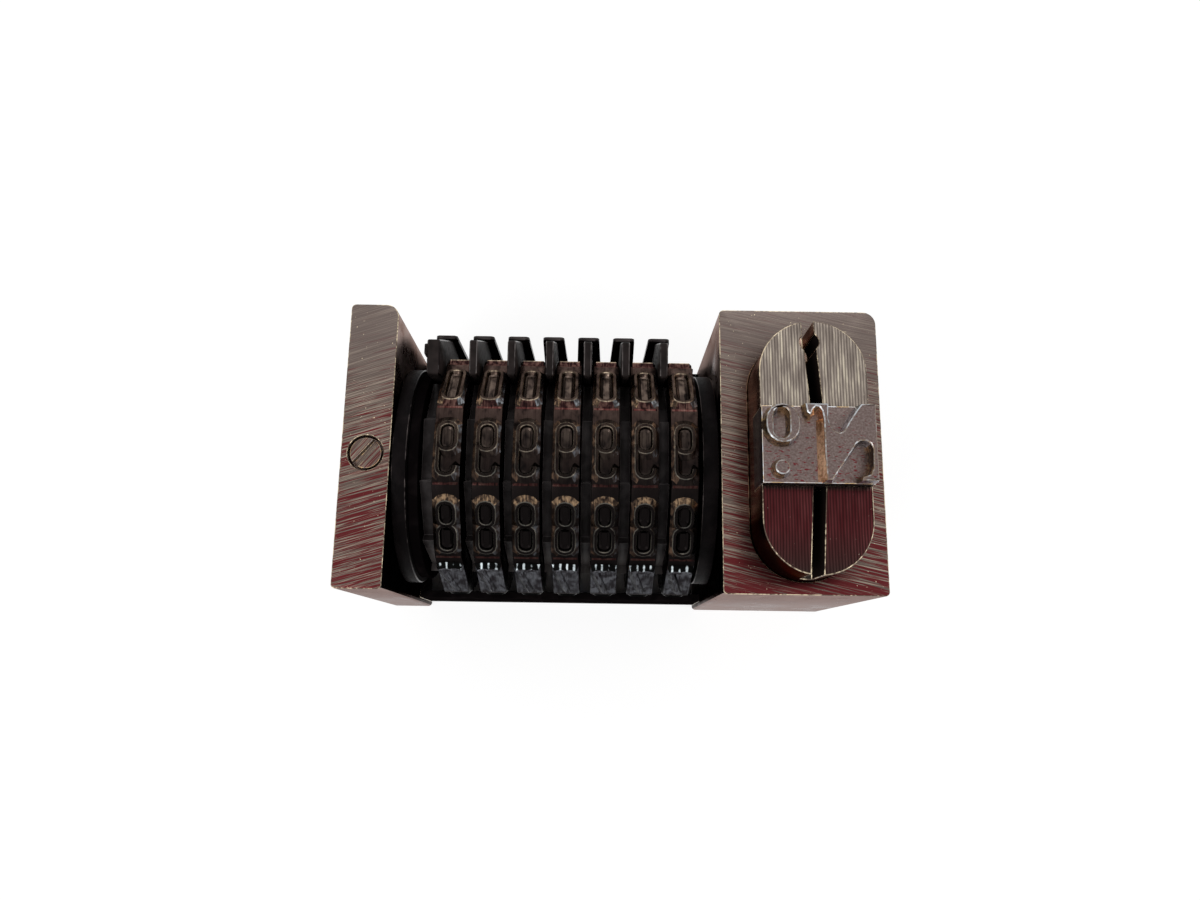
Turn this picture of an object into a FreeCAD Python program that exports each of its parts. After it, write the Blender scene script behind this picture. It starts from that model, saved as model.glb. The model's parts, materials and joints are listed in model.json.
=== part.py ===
import FreeCAD, Part
import math
import os

# Letterpress numbering machine: a steel case the height of type, seven numeral wheels on one shaft,
# and a sprung plunger whose stroke rocks the swing that carries the advancing pawl.
# Origin at the middle of the underside, +X along the case, +Y to the rear, +Z up, millimetres.

# Case
case_length = 41.275
case_depth = 22.225
case_height = 22.3
left_block_width = 3.74
right_block_width = 12.33
rear_corner_radius = 1.0
front_corner_radius = 0.35
wall_recess = 0.46
wall_thickness = 0.6
front_wall_height = 6.5
rear_wall_height = 7.0
wall_root = 1.5
base_plate_thickness = 0.6
base_plate_end_margin = 1.2
base_plate_corner_radius = 1.2

# Clearances and the overrun of every cut
press_gap = 0.01
running_gap = 0.03
side_gap = 0.08
slide_gap = 0.05
overrun = 0.5

# Wheels: they fill the well from side to side, and their faces stand at the height of type
wheel_count = 7
digit_count = 10
type_height = 23.32
wheel_front_gap = 0.2425
detent_room = 1.4825
type_rise = 0.31
wheel_edge_angle = 13.4
type_side_slope = 0.3
type_face_share = 0.7
type_foot_share = 0.9
type_face_corner_share = 0.3
type_foot_corner_share = 0.08
shaft_radius = 2.0
shaft_end_recess = 0.3
shaft_end_seat = 1.5

# Ratchets: saw teeth whose walls face backwards, one notch deeper for the carry
ratchet_width = 0.82
units_ratchet_width = 1.2
ratchet_below_type = 1.87
ratchet_tooth_depth = 0.7
ratchet_carry_depth = 1.25
carry_tooth = 5

# Swing: two cheeks on the shaft joined by two rods
left_cheek_thickness = 1.15
left_cheek_below_type = 1.02
right_cheek_thickness = 1.3
right_cheek_below_type = 1.22
cheek_gap = 0.1
left_washer_thickness = 0.74
left_washer_below_type = 1.42
right_washer_thickness = 0.195
right_washer_radius = 3.6
rod_radius = 0.6
rod_beyond_type = 1.43
pawl_rod_angle = 192.0
tie_rod_angle = 180.0
cheek_lug_radius = 1.1
lug_floor_gap = 0.15
plunger_stroke = 5.5
drive_pin_radius = 0.9
drive_pin_rim = 0.226
drive_slot_gap = 0.2
drive_groove_gap = 0.1
drive_pin_reach = 1.2
drive_groove_end_gap = 0.3

# Advancing pawl, one piece, its teeth each a step shorter than the last
knuckle_radius = 1.05
knuckle_width = 1.5
spine_beyond_type = 0.43
spine_thickness = 0.9
spine_start_reach = 0.9
spine_end_angle = 216.0
pawl_tooth_width = 0.6
units_pawl_tooth_width = 0.9
pawl_tip_gap = 0.13
pawl_step = 0.07
pawl_tip_angle = 228.6
pawl_tooth_depth = 1.1

# Pawl spring, wound on the pawl rod
pawl_spring_wire = 0.22
pawl_spring_bore_gap = 0.06
pawl_spring_pitch = 0.68
pawl_spring_turns = 4
pawl_spring_leg = 1.9
pawl_spring_knuckle_gap = 0.25

# Retaining detents at the rear
detent_rod_radius = 0.7
detent_rod_height = 4.6
detent_rod_seat = 1.0
detent_hub_radius = 1.25
detent_hub_wall_gap = 0.1
detent_width = 0.65
units_detent_width = 1.0
detent_tip_gap = 0.15
detent_tip_angle = -59.0
detent_nose_depth = 0.72
detent_head_above_tip = 3.9
detent_head_overhang = 0.55
detent_head_length = 2.75
detent_head_slope = 0.35
detent_arm_gap = 0.75
detent_arm_width = 1.7
detent_heel_above_axis = 2.1
detent_heel_length = 1.8
detent_heel_gap = 0.05
detent_corner_radius = 0.25
units_lug_width = 0.3
units_lug_length = 0.9
units_lug_height = 1.0
units_lug_inset = 0.15
spacer_wall = 0.45

# Spring comb behind the detents
comb_thickness = 0.3
comb_foot_low = 1.3
comb_foot_high = 7.6
comb_finger_above_heel = 0.4
comb_finger_gap = 1.2
comb_finger_root_gap = 0.8
comb_corner_radius = 0.35
comb_end_margin = 0.5

# Screws
comb_screw_shares = (0.09, 0.5, 0.91)
comb_screw_head_radius = 0.95
comb_screw_shank_radius = 0.5
comb_screw_head_height = 0.42
comb_screw_height = 4.0
base_screw_head_radius = 1.25
base_screw_shank_radius = 0.7
base_screw_head_height = 0.5
base_screw_length = 4.0
base_screw_inset = 2.4
base_screw_end_inset = 1.9
lock_screw_head_radius = 1.2
lock_screw_head_height = 1.0
lock_screw_hole_radius = 1.37
lock_screw_sink = 0.1
lock_screw_shank_radius = 0.9
lock_screw_slot_width = 0.55
lock_screw_slot_depth = 0.5
lock_screw_slot_angle = 50.0
shaft_flat_depth = 0.35
shaft_flat_gap = 0.4

# Plunger and its sign block
plunger_hole_width = 7.9
plunger_right_wall = 2.35
plunger_front_wall = 0.96
plunger_rear_wall = 2.665
plunger_shoulder_above = 5.0
plunger_foot_height = 7.2
slit_width = 0.85
slit_depth = 3.6
slit_offset = -0.2
rear_slit_turn = 4.4
front_slit_turn = -3.5
keyhole_radius = 0.7
keyhole_rear_inset = 1.65
sign_width = 5.57
sign_rear_inset = 6.67
sign_groove_depth = 2.9
sign_shoulder_above = 0.65
sign_relief = 0.85
sign_face_margin = 0.3
sign_face_slope = 0.25
spring_end_margin = 4.1
spring_pocket_radius = 1.95
spring_pocket_depth = 10.0
spring_outer_radius = 1.75
spring_wire = 0.6
spring_turns = 6


# Places worked out from the sizes above
case_left = -case_length / 2
case_right = case_length / 2
case_front = -case_depth / 2
case_rear = case_depth / 2
well_left = case_left + left_block_width
well_right = case_right - right_block_width
wall_front = case_front + wall_recess
wall_rear = case_rear - wall_recess
comb_rear = wall_rear + comb_thickness

# The wheels are as large as the depth of the case and the height of type both allow
radius_in_depth = (wall_rear - detent_room - case_front - wheel_front_gap) / 2
height_below_wheels = base_plate_thickness + lug_floor_gap + cheek_lug_radius + rod_beyond_type
radius_in_height = (type_height - height_below_wheels) / 2
type_radius = min(radius_in_depth, radius_in_height)
axis_y = wall_rear - detent_room - type_radius
axis_z = type_height - type_radius
digit_step = 360.0 / digit_count
wheel_corner_radius = type_radius - type_rise
wheel_side = 2 * wheel_corner_radius * math.sin(math.radians(digit_step / 2))
ratchet_crest_radius = type_radius - ratchet_below_type
ratchet_floor_radius = ratchet_crest_radius - ratchet_tooth_depth
ratchet_carry_radius = ratchet_crest_radius - ratchet_carry_depth
left_cheek_radius = type_radius - left_cheek_below_type
right_cheek_radius = type_radius - right_cheek_below_type
left_washer_radius = type_radius - left_washer_below_type
rod_circle_radius = type_radius + rod_beyond_type
spine_inner_radius = type_radius + spine_beyond_type
spine_outer_radius = spine_inner_radius + spine_thickness
spine_start_angle = pawl_rod_angle + math.degrees(spine_start_reach / rod_circle_radius)
drive_pin_circle = right_cheek_radius - drive_pin_rim - drive_pin_radius
swing_stroke = 2 * math.degrees(math.asin(plunger_stroke / 2 / drive_pin_circle))

# Along the shaft, from the left block to the right one
left_block_middle = (case_left + well_left) / 2
left_cheek_left = well_left + cheek_gap
left_cheek_right = left_cheek_left + left_cheek_thickness
right_cheek_right = well_right - cheek_gap
right_cheek_left = right_cheek_right - right_cheek_thickness
stack_left = left_cheek_right + side_gap + left_washer_thickness + side_gap
stack_right = right_cheek_left - side_gap - right_washer_thickness - side_gap
stack_ratchets = units_ratchet_width + (wheel_count - 1) * (side_gap + ratchet_width)
wheel_width = (stack_right - stack_left - stack_ratchets) / wheel_count
wheel_pitch = side_gap + ratchet_width + wheel_width
first_wheel_left = stack_left + units_ratchet_width

# Pawl, detents, comb and plunger
pawl_tip_radius = ratchet_crest_radius + pawl_tip_gap
detent_tip_radius = ratchet_crest_radius + detent_tip_gap
detent_rod_y = wall_rear - wall_thickness - detent_hub_wall_gap - detent_hub_radius
detent_heel_height = axis_z + detent_heel_above_axis
comb_finger_top = detent_heel_height + comb_finger_above_heel
plunger_hole_length = case_depth - plunger_front_wall - plunger_rear_wall
plunger_x = case_right - plunger_right_wall - plunger_hole_width / 2
plunger_y = case_front + plunger_front_wall + plunger_hole_length / 2
plunger_rear = plunger_y + plunger_hole_length / 2
plunger_top = case_height + plunger_shoulder_above
spring_spread = plunger_hole_length / 2 - spring_end_margin
sign_rear = plunger_rear - sign_rear_inset
sign_front = sign_rear - sign_width
sign_floor = plunger_top - sign_groove_depth


def wheel_middle(index):
    return first_wheel_left + wheel_width / 2 + index * wheel_pitch


def wheel_left(index):
    return wheel_middle(index) - wheel_width / 2


def tooth_width(index, units, others):
    """The units wheel has wider teeth than the rest."""
    return units if index == 0 else others


def ratchet_left(index):
    return wheel_left(index) - tooth_width(index, units_ratchet_width, ratchet_width)


def gap_middle(index):
    """The middle of the space left of a wheel, where its detent and its pawl tooth run."""
    if index == 0:
        return (ratchet_left(index) + wheel_left(index)) / 2
    return (wheel_left(index) + wheel_middle(index - 1) + wheel_width / 2) / 2


def around_axis(radius, degrees):
    """A place seen from the side: degrees from the top of the wheels, growing towards the front."""
    turn = math.radians(degrees)
    return axis_y - radius * math.sin(turn), axis_z + radius * math.cos(turn)


def seen_from_above(low):
    return lambda a, b: FreeCAD.Vector(a, b, low)


def seen_from_side(left):
    return lambda a, b: FreeCAD.Vector(left, a, b)


def seen_from_rear(front):
    return lambda a, b: FreeCAD.Vector(a, front, b)


def corner_arc(before, here, after, radius):
    """Start, middle and end of the round that takes the place of one corner."""
    back = (before - here).normalize()
    on = (after - here).normalize()
    half = back.getAngle(on) / 2
    run = radius / math.tan(half)
    bisector = (back + on).normalize()
    middle = here + bisector * (radius / math.sin(half) - radius)
    return here + back * run, middle, here + on * run


def rounded_face(corners, place):
    """Flat face with straight sides; each corner is (across, up, radius), and a radius of 0 is sharp."""
    points = [place(a, b) for a, b, radius in corners]
    count = len(points)
    edges = []
    stops = []
    for i, (a, b, radius) in enumerate(corners):
        if radius == 0:
            stops.append((points[i], points[i]))
            continue
        start, middle, end = corner_arc(points[i - 1], points[i], points[(i + 1) % count], radius)
        stops.append((start, end))
        edges.append(Part.Arc(start, middle, end).toShape())
    for i in range(count):
        edges.append(Part.LineSegment(stops[i][1], stops[(i + 1) % count][0]).toShape())
    return Part.Face(Part.Wire(Part.__sortEdges__(edges)))


def plan_plate(corners, low, high):
    return rounded_face(corners, seen_from_above(low)).extrude(FreeCAD.Vector(0, 0, high - low))


def side_plate(corners, left, right):
    return rounded_face(corners, seen_from_side(left)).extrude(FreeCAD.Vector(right - left, 0, 0))


def rear_plate(corners, front, rear):
    return rounded_face(corners, seen_from_rear(front)).extrude(FreeCAD.Vector(0, rear - front, 0))


def block(left, right, front, rear, low, high):
    corner = FreeCAD.Vector(left, front, low)
    return Part.makeBox(right - left, rear - front, high - low, corner)


def drum(y, z, radius, left, right):
    return Part.makeCylinder(radius, right - left, FreeCAD.Vector(left, y, z), FreeCAD.Vector(1, 0, 0))


def post(x, y, radius, low, high):
    return Part.makeCylinder(radius, high - low, FreeCAD.Vector(x, y, low))


def disc(radius, left, right):
    """A disc on the wheel shaft, with its running bore."""
    bore = drum(axis_y, axis_z, shaft_radius + running_gap, left - overrun, right + overrun)
    return drum(axis_y, axis_z, radius, left, right).cut(bore)


def stadium(x, y, width, length, low, high):
    """Upright body with two half-round ends, one to the front and one to the rear."""
    radius = width / 2
    reach = length / 2 - radius
    body = block(x - radius, x + radius, y - reach, y + reach, low, high)
    ends = [post(x, y - reach, radius, low, high), post(x, y + reach, radius, low, high)]
    return body.fuse(ends).removeSplitter()


def sunk_screw(head_radius, shank_radius, head_height, length, gap, out):
    """Countersunk screw along +Z from the face of its head; gap widens it into its own hole."""
    cone = Part.makeCone(head_radius + gap, shank_radius + gap, head_height)
    shank = Part.makeCylinder(shank_radius + gap, length + gap)
    rim = Part.makeCylinder(head_radius + gap, out, FreeCAD.Vector(0, 0, -out)) if out else None
    screw = cone.fuse([shank] + ([rim] if rim else []))
    return screw.removeSplitter()


def base_screw_places():
    """Two screws up into each block, one near its front and one near its rear."""
    return [(x, y)
            for x in (left_block_middle, case_right - base_screw_inset)
            for y in (wall_front + base_screw_end_inset, wall_rear - base_screw_end_inset)]


def base_screws(gap, out):
    screws = []
    for x, y in base_screw_places():
        screw = sunk_screw(base_screw_head_radius, base_screw_shank_radius, base_screw_head_height,
                           base_screw_length, gap, out)
        screws.append(screw.translated(FreeCAD.Vector(x, y, 0)))
    return screws


def comb_screws(gap, out):
    """Flat-headed screws through the foot of the comb into the rear wall."""
    screws = []
    length = comb_thickness + wall_thickness - 2 * press_gap
    for share in comb_screw_shares:
        screw = sunk_screw(comb_screw_head_radius, comb_screw_shank_radius, comb_screw_head_height,
                           length, gap, out)
        screw.rotate(FreeCAD.Vector(0, 0, 0), FreeCAD.Vector(1, 0, 0), 90)
        x = well_left + share * (well_right - well_left)
        screws.append(screw.translated(FreeCAD.Vector(x, comb_rear, comb_screw_height)))
    return screws


def block_plan(left, right, radii):
    """Plan of an end block; radii go front left, front right, rear right, rear left."""
    corners = [(left, case_front), (right, case_front), (right, case_rear), (left, case_rear)]
    return [(x, y, radius) for (x, y), radius in zip(corners, radii)]


def base_plate_plan(gap):
    left = case_left + base_plate_end_margin - gap
    right = case_right - base_plate_end_margin + gap
    radius = base_plate_corner_radius
    return [(left, wall_front - gap, radius), (right, wall_front - gap, radius),
            (right, wall_rear + gap, radius), (left, wall_rear + gap, radius)]


def arc_slot(radius, half_width, reach, left, right):
    """Slot that follows a circle round the shaft, level with it at the middle, with round ends."""
    def at(distance, degrees):
        y, z = around_axis(distance, degrees)
        return FreeCAD.Vector(left, y, z)

    low = -90.0 - reach
    high = -90.0 + reach
    cap = math.degrees(half_width / radius)
    outer = radius + half_width
    inner = radius - half_width
    edges = [Part.Arc(at(outer, low), at(outer, -90.0), at(outer, high)).toShape(),
             Part.Arc(at(outer, high), at(radius, high + cap), at(inner, high)).toShape(),
             Part.Arc(at(inner, high), at(inner, -90.0), at(inner, low)).toShape(),
             Part.Arc(at(inner, low), at(radius, low - cap), at(outer, low)).toShape()]
    face = Part.Face(Part.Wire(edges))
    return face.extrude(FreeCAD.Vector(right - left, 0, 0))


def make_case():
    """Two end blocks joined by a low front wall and a low rear wall."""
    left_radii = (front_corner_radius, front_corner_radius, rear_corner_radius, front_corner_radius)
    right_radii = (front_corner_radius, front_corner_radius, rear_corner_radius, front_corner_radius)
    left = plan_plate(block_plan(case_left, well_left, left_radii), 0, case_height)
    right = plan_plate(block_plan(well_right, case_right, right_radii), 0, case_height)
    ends = (well_left - wall_root, well_right + wall_root)
    front = block(*ends, wall_front, wall_front + wall_thickness, 0, front_wall_height)
    rear = block(*ends, wall_rear - wall_thickness, wall_rear, 0, rear_wall_height)
    body = left.fuse([right, front, rear])
    return body.cut(case_cuts()).removeSplitter()


def case_cuts():
    plate = plan_plate(base_plate_plan(press_gap), -overrun, base_plate_thickness)
    plunger_hole = stadium(plunger_x, plunger_y, plunger_hole_width, plunger_hole_length,
                           -overrun, case_height + overrun)
    shaft_hole = drum(axis_y, axis_z, shaft_radius + press_gap, case_left - overrun,
                      well_right + shaft_end_seat)
    rod_hole = drum(detent_rod_y, detent_rod_height, detent_rod_radius + press_gap,
                    well_left - detent_rod_seat, well_right + detent_rod_seat)
    pin_slot = arc_slot(drive_pin_circle, drive_pin_radius + drive_slot_gap, swing_stroke / 2,
                        well_right - overrun, plunger_x)
    head_floor = case_height - lock_screw_sink - lock_screw_head_height
    lock_head = post(left_block_middle, axis_y, lock_screw_hole_radius, head_floor,
                     case_height + overrun)
    lock_shank = post(left_block_middle, axis_y, lock_screw_shank_radius + press_gap, axis_z,
                      head_floor + overrun)
    holes = [plate, plunger_hole, shaft_hole, rod_hole, pin_slot, lock_head, lock_shank]
    return holes + base_screws(press_gap, overrun) + comb_screws(press_gap, overrun)


def make_base_plate():
    plate = plan_plate(base_plate_plan(0), 0, base_plate_thickness)
    return plate.cut(base_screws(press_gap, overrun))


def make_lock_screw():
    """Slotted screw down through the left block onto the flat of the shaft."""
    top = case_height - lock_screw_sink
    floor = top - lock_screw_head_height
    tip = axis_z + shaft_radius - shaft_flat_depth + press_gap
    head = post(left_block_middle, axis_y, lock_screw_head_radius, floor, top)
    shank = post(left_block_middle, axis_y, lock_screw_shank_radius, tip, floor)
    reach = lock_screw_head_radius + overrun
    slot = block(-reach, reach, -lock_screw_slot_width / 2, lock_screw_slot_width / 2,
                 top - lock_screw_slot_depth, top + overrun)
    slot.rotate(FreeCAD.Vector(0, 0, 0), FreeCAD.Vector(0, 0, 1), lock_screw_slot_angle)
    slot.translate(FreeCAD.Vector(left_block_middle, axis_y, 0))
    return head.fuse(shank).cut(slot).removeSplitter()


def make_shaft():
    """Wheel shaft, flattened on top where the lock screw bears."""
    shaft = drum(axis_y, axis_z, shaft_radius, case_left + shaft_end_recess,
                 well_right + shaft_end_seat - press_gap)
    reach = lock_screw_shank_radius + shaft_flat_gap
    low = axis_z + shaft_radius - shaft_flat_depth
    flat = block(left_block_middle - reach, left_block_middle + reach, axis_y - shaft_radius,
                 axis_y + shaft_radius, low, low + shaft_radius)
    return shaft.cut(flat)


def type_boss(index):
    """Bevelled block that carries one numeral, wide at its foot and narrow at its face."""
    floor = wheel_corner_radius * math.cos(math.radians(digit_step / 2))
    rings = []
    foot = (floor, wheel_width, wheel_side * type_foot_share, type_foot_corner_share)
    face = (type_radius, wheel_width - 2 * type_side_slope, wheel_side * type_face_share,
            type_face_corner_share)
    for radius, width, height, share in (foot, face):
        half, reach = width / 2, height / 2
        cut = share * width
        outline = [(cut - half, -reach), (half - cut, -reach), (half, cut - reach), (half, reach - cut),
                   (half - cut, reach), (cut - half, reach), (-half, reach - cut), (-half, cut - reach)]
        points = [FreeCAD.Vector(x, axis_y - y, axis_z + radius) for x, y in outline]
        rings.append(Part.makePolygon(points + points[:1]))
    boss = Part.makeLoft(rings, True, True)
    turn = wheel_edge_angle + digit_step * (index + 1 / 2)
    boss.rotate(FreeCAD.Vector(0, axis_y, axis_z), FreeCAD.Vector(1, 0, 0), turn)
    return boss


def make_wheel():
    """Ten-sided numeral wheel at x = 0 with a raised type block on each side."""
    corners = [(*around_axis(wheel_corner_radius, wheel_edge_angle + digit_step * i), 0)
               for i in range(digit_count)]
    half = wheel_width / 2
    body = side_plate(corners, -half, half)
    bore = drum(axis_y, axis_z, shaft_radius + running_gap, -wheel_width, wheel_width)
    return body.fuse([type_boss(i) for i in range(digit_count)]).cut(bore).removeSplitter()


def make_ratchet(index):
    """Ten saw teeth; each face falls from its crest to the foot of the next wall."""
    corners = []
    for i in range(digit_count):
        wall = wheel_edge_angle + digit_step * i
        floor = ratchet_carry_radius if i == carry_tooth else ratchet_floor_radius
        corners.append((*around_axis(ratchet_crest_radius, wall), 0))
        corners.append((*around_axis(floor, wall + digit_step), 0))
    left, right = ratchet_left(index), wheel_left(index)
    bore = drum(axis_y, axis_z, shaft_radius + running_gap, left - overrun, right + overrun)
    return side_plate(corners, left, right).cut(bore)


def link(near, near_radius, far, far_radius, left, right):
    """Plate with the outline of a belt drawn round two circles seen from the side."""
    span = FreeCAD.Vector(0, far[0] - near[0], far[1] - near[1])
    lean = math.acos((near_radius - far_radius) / span.Length)
    along = math.atan2(span.z, span.y)

    def at(centre, radius, turn):
        return FreeCAD.Vector(left, centre[0] + radius * math.cos(turn), centre[1] + radius * math.sin(turn))

    high, low = along + lean, along - lean
    edges = [Part.LineSegment(at(near, near_radius, high), at(far, far_radius, high)).toShape(),
             Part.Arc(at(far, far_radius, high), at(far, far_radius, along),
                      at(far, far_radius, low)).toShape(),
             Part.LineSegment(at(far, far_radius, low), at(near, near_radius, low)).toShape(),
             Part.Arc(at(near, near_radius, low), at(near, near_radius, along + math.pi),
                      at(near, near_radius, high)).toShape()]
    return Part.Face(Part.Wire(edges)).extrude(FreeCAD.Vector(right - left, 0, 0))


def swing_rod_places():
    return [around_axis(rod_circle_radius, angle) for angle in (pawl_rod_angle, tie_rod_angle)]


def drive_pin_place():
    """The pin stands behind the shaft, raised by half the stroke at rest."""
    return around_axis(drive_pin_circle, -90.0 + swing_stroke / 2)


def make_cheek(radius, left, right):
    """Round cheek with a lug below that holds the pawl rod and the tie rod."""
    rods = swing_rod_places()
    arms = [link((axis_y, axis_z), radius, place, cheek_lug_radius, left, right) for place in rods]
    arms.append(link(rods[0], cheek_lug_radius, rods[1], cheek_lug_radius, left, right))
    holes = [drum(axis_y, axis_z, shaft_radius + running_gap, left - overrun, right + overrun)]
    holes += [drum(*place, rod_radius + press_gap, left - overrun, right + overrun) for place in rods]
    return drum(axis_y, axis_z, radius, left, right).fuse(arms).cut(holes).removeSplitter()


def make_right_cheek():
    cheek = make_cheek(right_cheek_radius, right_cheek_left, right_cheek_right)
    hole = drum(*drive_pin_place(), drive_pin_radius + press_gap, right_cheek_left - overrun,
                right_cheek_right + overrun)
    return cheek.cut(hole)


def drive_pin_end():
    side = plunger_x - plunger_hole_width / 2
    return side + drive_pin_reach + slide_gap


def make_drive_pin():
    return drum(*drive_pin_place(), drive_pin_radius, right_cheek_left, drive_pin_end())


def make_swing_rod(angle):
    return drum(*around_axis(rod_circle_radius, angle), rod_radius, left_cheek_left, right_cheek_right)


def band(inner, outer, start, end, left, right):
    """Part of a ring round the shaft, between two angles."""
    def at(radius, degrees):
        return FreeCAD.Vector(left, *around_axis(radius, degrees))

    middle = (start + end) / 2
    edges = [Part.Arc(at(outer, start), at(outer, middle), at(outer, end)).toShape(),
             Part.LineSegment(at(outer, end), at(inner, end)).toShape(),
             Part.Arc(at(inner, end), at(inner, middle), at(inner, start)).toShape(),
             Part.LineSegment(at(inner, start), at(outer, start)).toShape()]
    return Part.Face(Part.Wire(edges)).extrude(FreeCAD.Vector(right - left, 0, 0))


def pawl_ends():
    return ratchet_left(0) + side_gap, wheel_middle(wheel_count - 1) + wheel_width / 2


def knuckle_starts():
    """Left ends of the three knuckles: one at each end of the pawl and one in the middle."""
    left, right = pawl_ends()
    return [left, (left + right - knuckle_width) / 2, right - knuckle_width]


def pawl_tooth(index):
    """One tooth leaning forward from the spine, its tip just behind the wall that it pushes."""
    tip = pawl_tip_radius + index * pawl_step
    depth = pawl_tooth_depth
    root = spine_end_angle - math.degrees(depth / spine_outer_radius)
    heel = spine_end_angle + math.degrees(depth / spine_outer_radius)
    slope = math.degrees(depth / pawl_tip_radius)
    corners = [around_axis(spine_outer_radius, root), around_axis(spine_outer_radius, heel),
               around_axis(tip + depth, pawl_tip_angle), around_axis(tip, pawl_tip_angle),
               around_axis(tip + (spine_inner_radius - tip) / 2, pawl_tip_angle - slope),
               around_axis(spine_inner_radius, root)]
    half = tooth_width(index, units_pawl_tooth_width, pawl_tooth_width) / 2
    middle = gap_middle(index)
    return side_plate([(*corner, 0) for corner in corners], middle - half, middle + half)


def make_pawl():
    """Advancing pawl: three knuckles on the rod, a curved spine and seven teeth."""
    left, right = pawl_ends()
    rod = around_axis(rod_circle_radius, pawl_rod_angle)
    spine = band(spine_inner_radius, spine_outer_radius, spine_start_angle, spine_end_angle, left, right)
    knuckles = [drum(*rod, knuckle_radius, start, start + knuckle_width) for start in knuckle_starts()]
    teeth = [pawl_tooth(index) for index in range(wheel_count)]
    bore = drum(*rod, rod_radius + running_gap, left - overrun, right + overrun)
    return spine.fuse(knuckles + teeth).cut(bore).removeSplitter()


def coil_points(radius, pitch, turns):
    """Half turns of a coil round Z, each a tilted half circle that joins the next without a kink."""
    lean = math.hypot(radius, pitch / 4)
    steps = []
    for half in range(2 * turns):
        side = 1 if half % 2 == 0 else -1
        z = half * pitch / 2
        steps.append((FreeCAD.Vector(side * radius, 0, z), FreeCAD.Vector(0, side * lean, z + pitch / 4),
                      FreeCAD.Vector(-side * radius, 0, z + pitch / 2)))
    return steps


def coil(radius, pitch, turns, wire, leg):
    """Coil spring as one tube, with a straight leg along each end if leg is more than 0."""
    steps = coil_points(radius, pitch, turns)
    edges = [Part.Arc(*step).toShape() for step in steps]
    start, end = steps[0][0], steps[-1][2]
    if leg:
        edges.insert(0, Part.LineSegment(start - FreeCAD.Vector(0, leg, 0), start).toShape())
        edges.append(Part.LineSegment(end, end + FreeCAD.Vector(0, leg, 0)).toShape())
        start = start - FreeCAD.Vector(0, leg, 0)
    section = Part.Wire(Part.Circle(start, FreeCAD.Vector(0, 1, 0), wire / 2).toShape())
    return Part.Wire(edges).makePipeShell([section], True, False)


def make_pawl_spring():
    """Torsion spring on the pawl rod beside the middle knuckle."""
    radius = rod_radius + pawl_spring_bore_gap + pawl_spring_wire / 2
    spring = coil(radius, pawl_spring_pitch, pawl_spring_turns, pawl_spring_wire, pawl_spring_leg)
    spring.rotate(FreeCAD.Vector(0, 0, 0), FreeCAD.Vector(0, 1, 0), 90)
    spring.rotate(FreeCAD.Vector(0, 0, 0), FreeCAD.Vector(1, 0, 0), pawl_rod_angle - 180.0)
    x = knuckle_starts()[1] + knuckle_width + pawl_spring_knuckle_gap
    return spring.translated(FreeCAD.Vector(x, *around_axis(rod_circle_radius, pawl_rod_angle)))


def detent_head():
    """Front and rear ends of the long top of a detent, which rises a little to the rear."""
    tip = around_axis(detent_tip_radius, detent_tip_angle)
    front = (tip[0] - detent_head_overhang, tip[1] + detent_head_above_tip)
    return front, (front[0] + detent_head_length, front[1] + detent_head_slope)


def detent_outline():
    """Side view of a detent: nose to the front, long head on top, heel against the spring comb."""
    tip = around_axis(detent_tip_radius, detent_tip_angle)
    front, rear = detent_head()
    nose = around_axis(detent_tip_radius + detent_nose_depth / 4, detent_tip_angle - math.degrees(
        detent_nose_depth / detent_tip_radius))
    arm_front = axis_y + ratchet_crest_radius + detent_arm_gap
    arm_rear = arm_front + detent_arm_width
    heel = wall_rear - detent_heel_gap
    heel_foot = detent_heel_height - detent_heel_length
    round_corner = detent_corner_radius
    return [(*tip, 0), (*front, round_corner), (*rear, round_corner),
            (heel, detent_heel_height, round_corner), (heel, heel_foot, round_corner),
            (arm_rear, rear_wall_height + detent_hub_radius, round_corner),
            (arm_rear, detent_rod_height, 0), (arm_front, detent_rod_height, 0),
            (arm_front, detent_heel_height, round_corner), (*nose, 0)]


def make_detent(index):
    """Detent blade with its hub on the detent rod; the units one is wider and has a lug."""
    half = tooth_width(index, units_detent_width, detent_width) / 2
    left, right = gap_middle(index) - half, gap_middle(index) + half
    blade = side_plate(detent_outline(), left, right)
    hub = drum(detent_rod_y, detent_rod_height, detent_hub_radius, left, right)
    bore = drum(detent_rod_y, detent_rod_height, detent_rod_radius + running_gap, left - overrun,
                right + overrun)
    pieces = [hub]
    if index == 0:
        rear, top = detent_head()[1]
        pieces.append(block(left - units_lug_width, left, rear - units_lug_inset - units_lug_length,
                            rear - units_lug_inset, top - detent_head_slope - units_lug_inset - units_lug_height,
                            top - detent_head_slope - units_lug_inset))
    return blade.fuse(pieces).cut(bore).removeSplitter()


def make_detent_rod():
    return drum(detent_rod_y, detent_rod_height, detent_rod_radius,
                well_left - detent_rod_seat + press_gap, well_right + detent_rod_seat - press_gap)


def make_detent_spacers():
    """Tubes on the detent rod that keep the detents in line with their ratchets."""
    stops = [well_left]
    for index in range(wheel_count):
        half = tooth_width(index, units_detent_width, detent_width) / 2
        stops += [gap_middle(index) - half, gap_middle(index) + half]
    stops.append(well_right)
    tubes = []
    for left, right in zip(stops[0::2], stops[1::2]):
        ends = (left + running_gap, right - running_gap)
        outer = drum(detent_rod_y, detent_rod_height, detent_rod_radius + spacer_wall, *ends)
        tubes.append(outer.cut(drum(detent_rod_y, detent_rod_height, detent_rod_radius + press_gap, *ends)))
    return Part.makeCompound(tubes)


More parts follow.
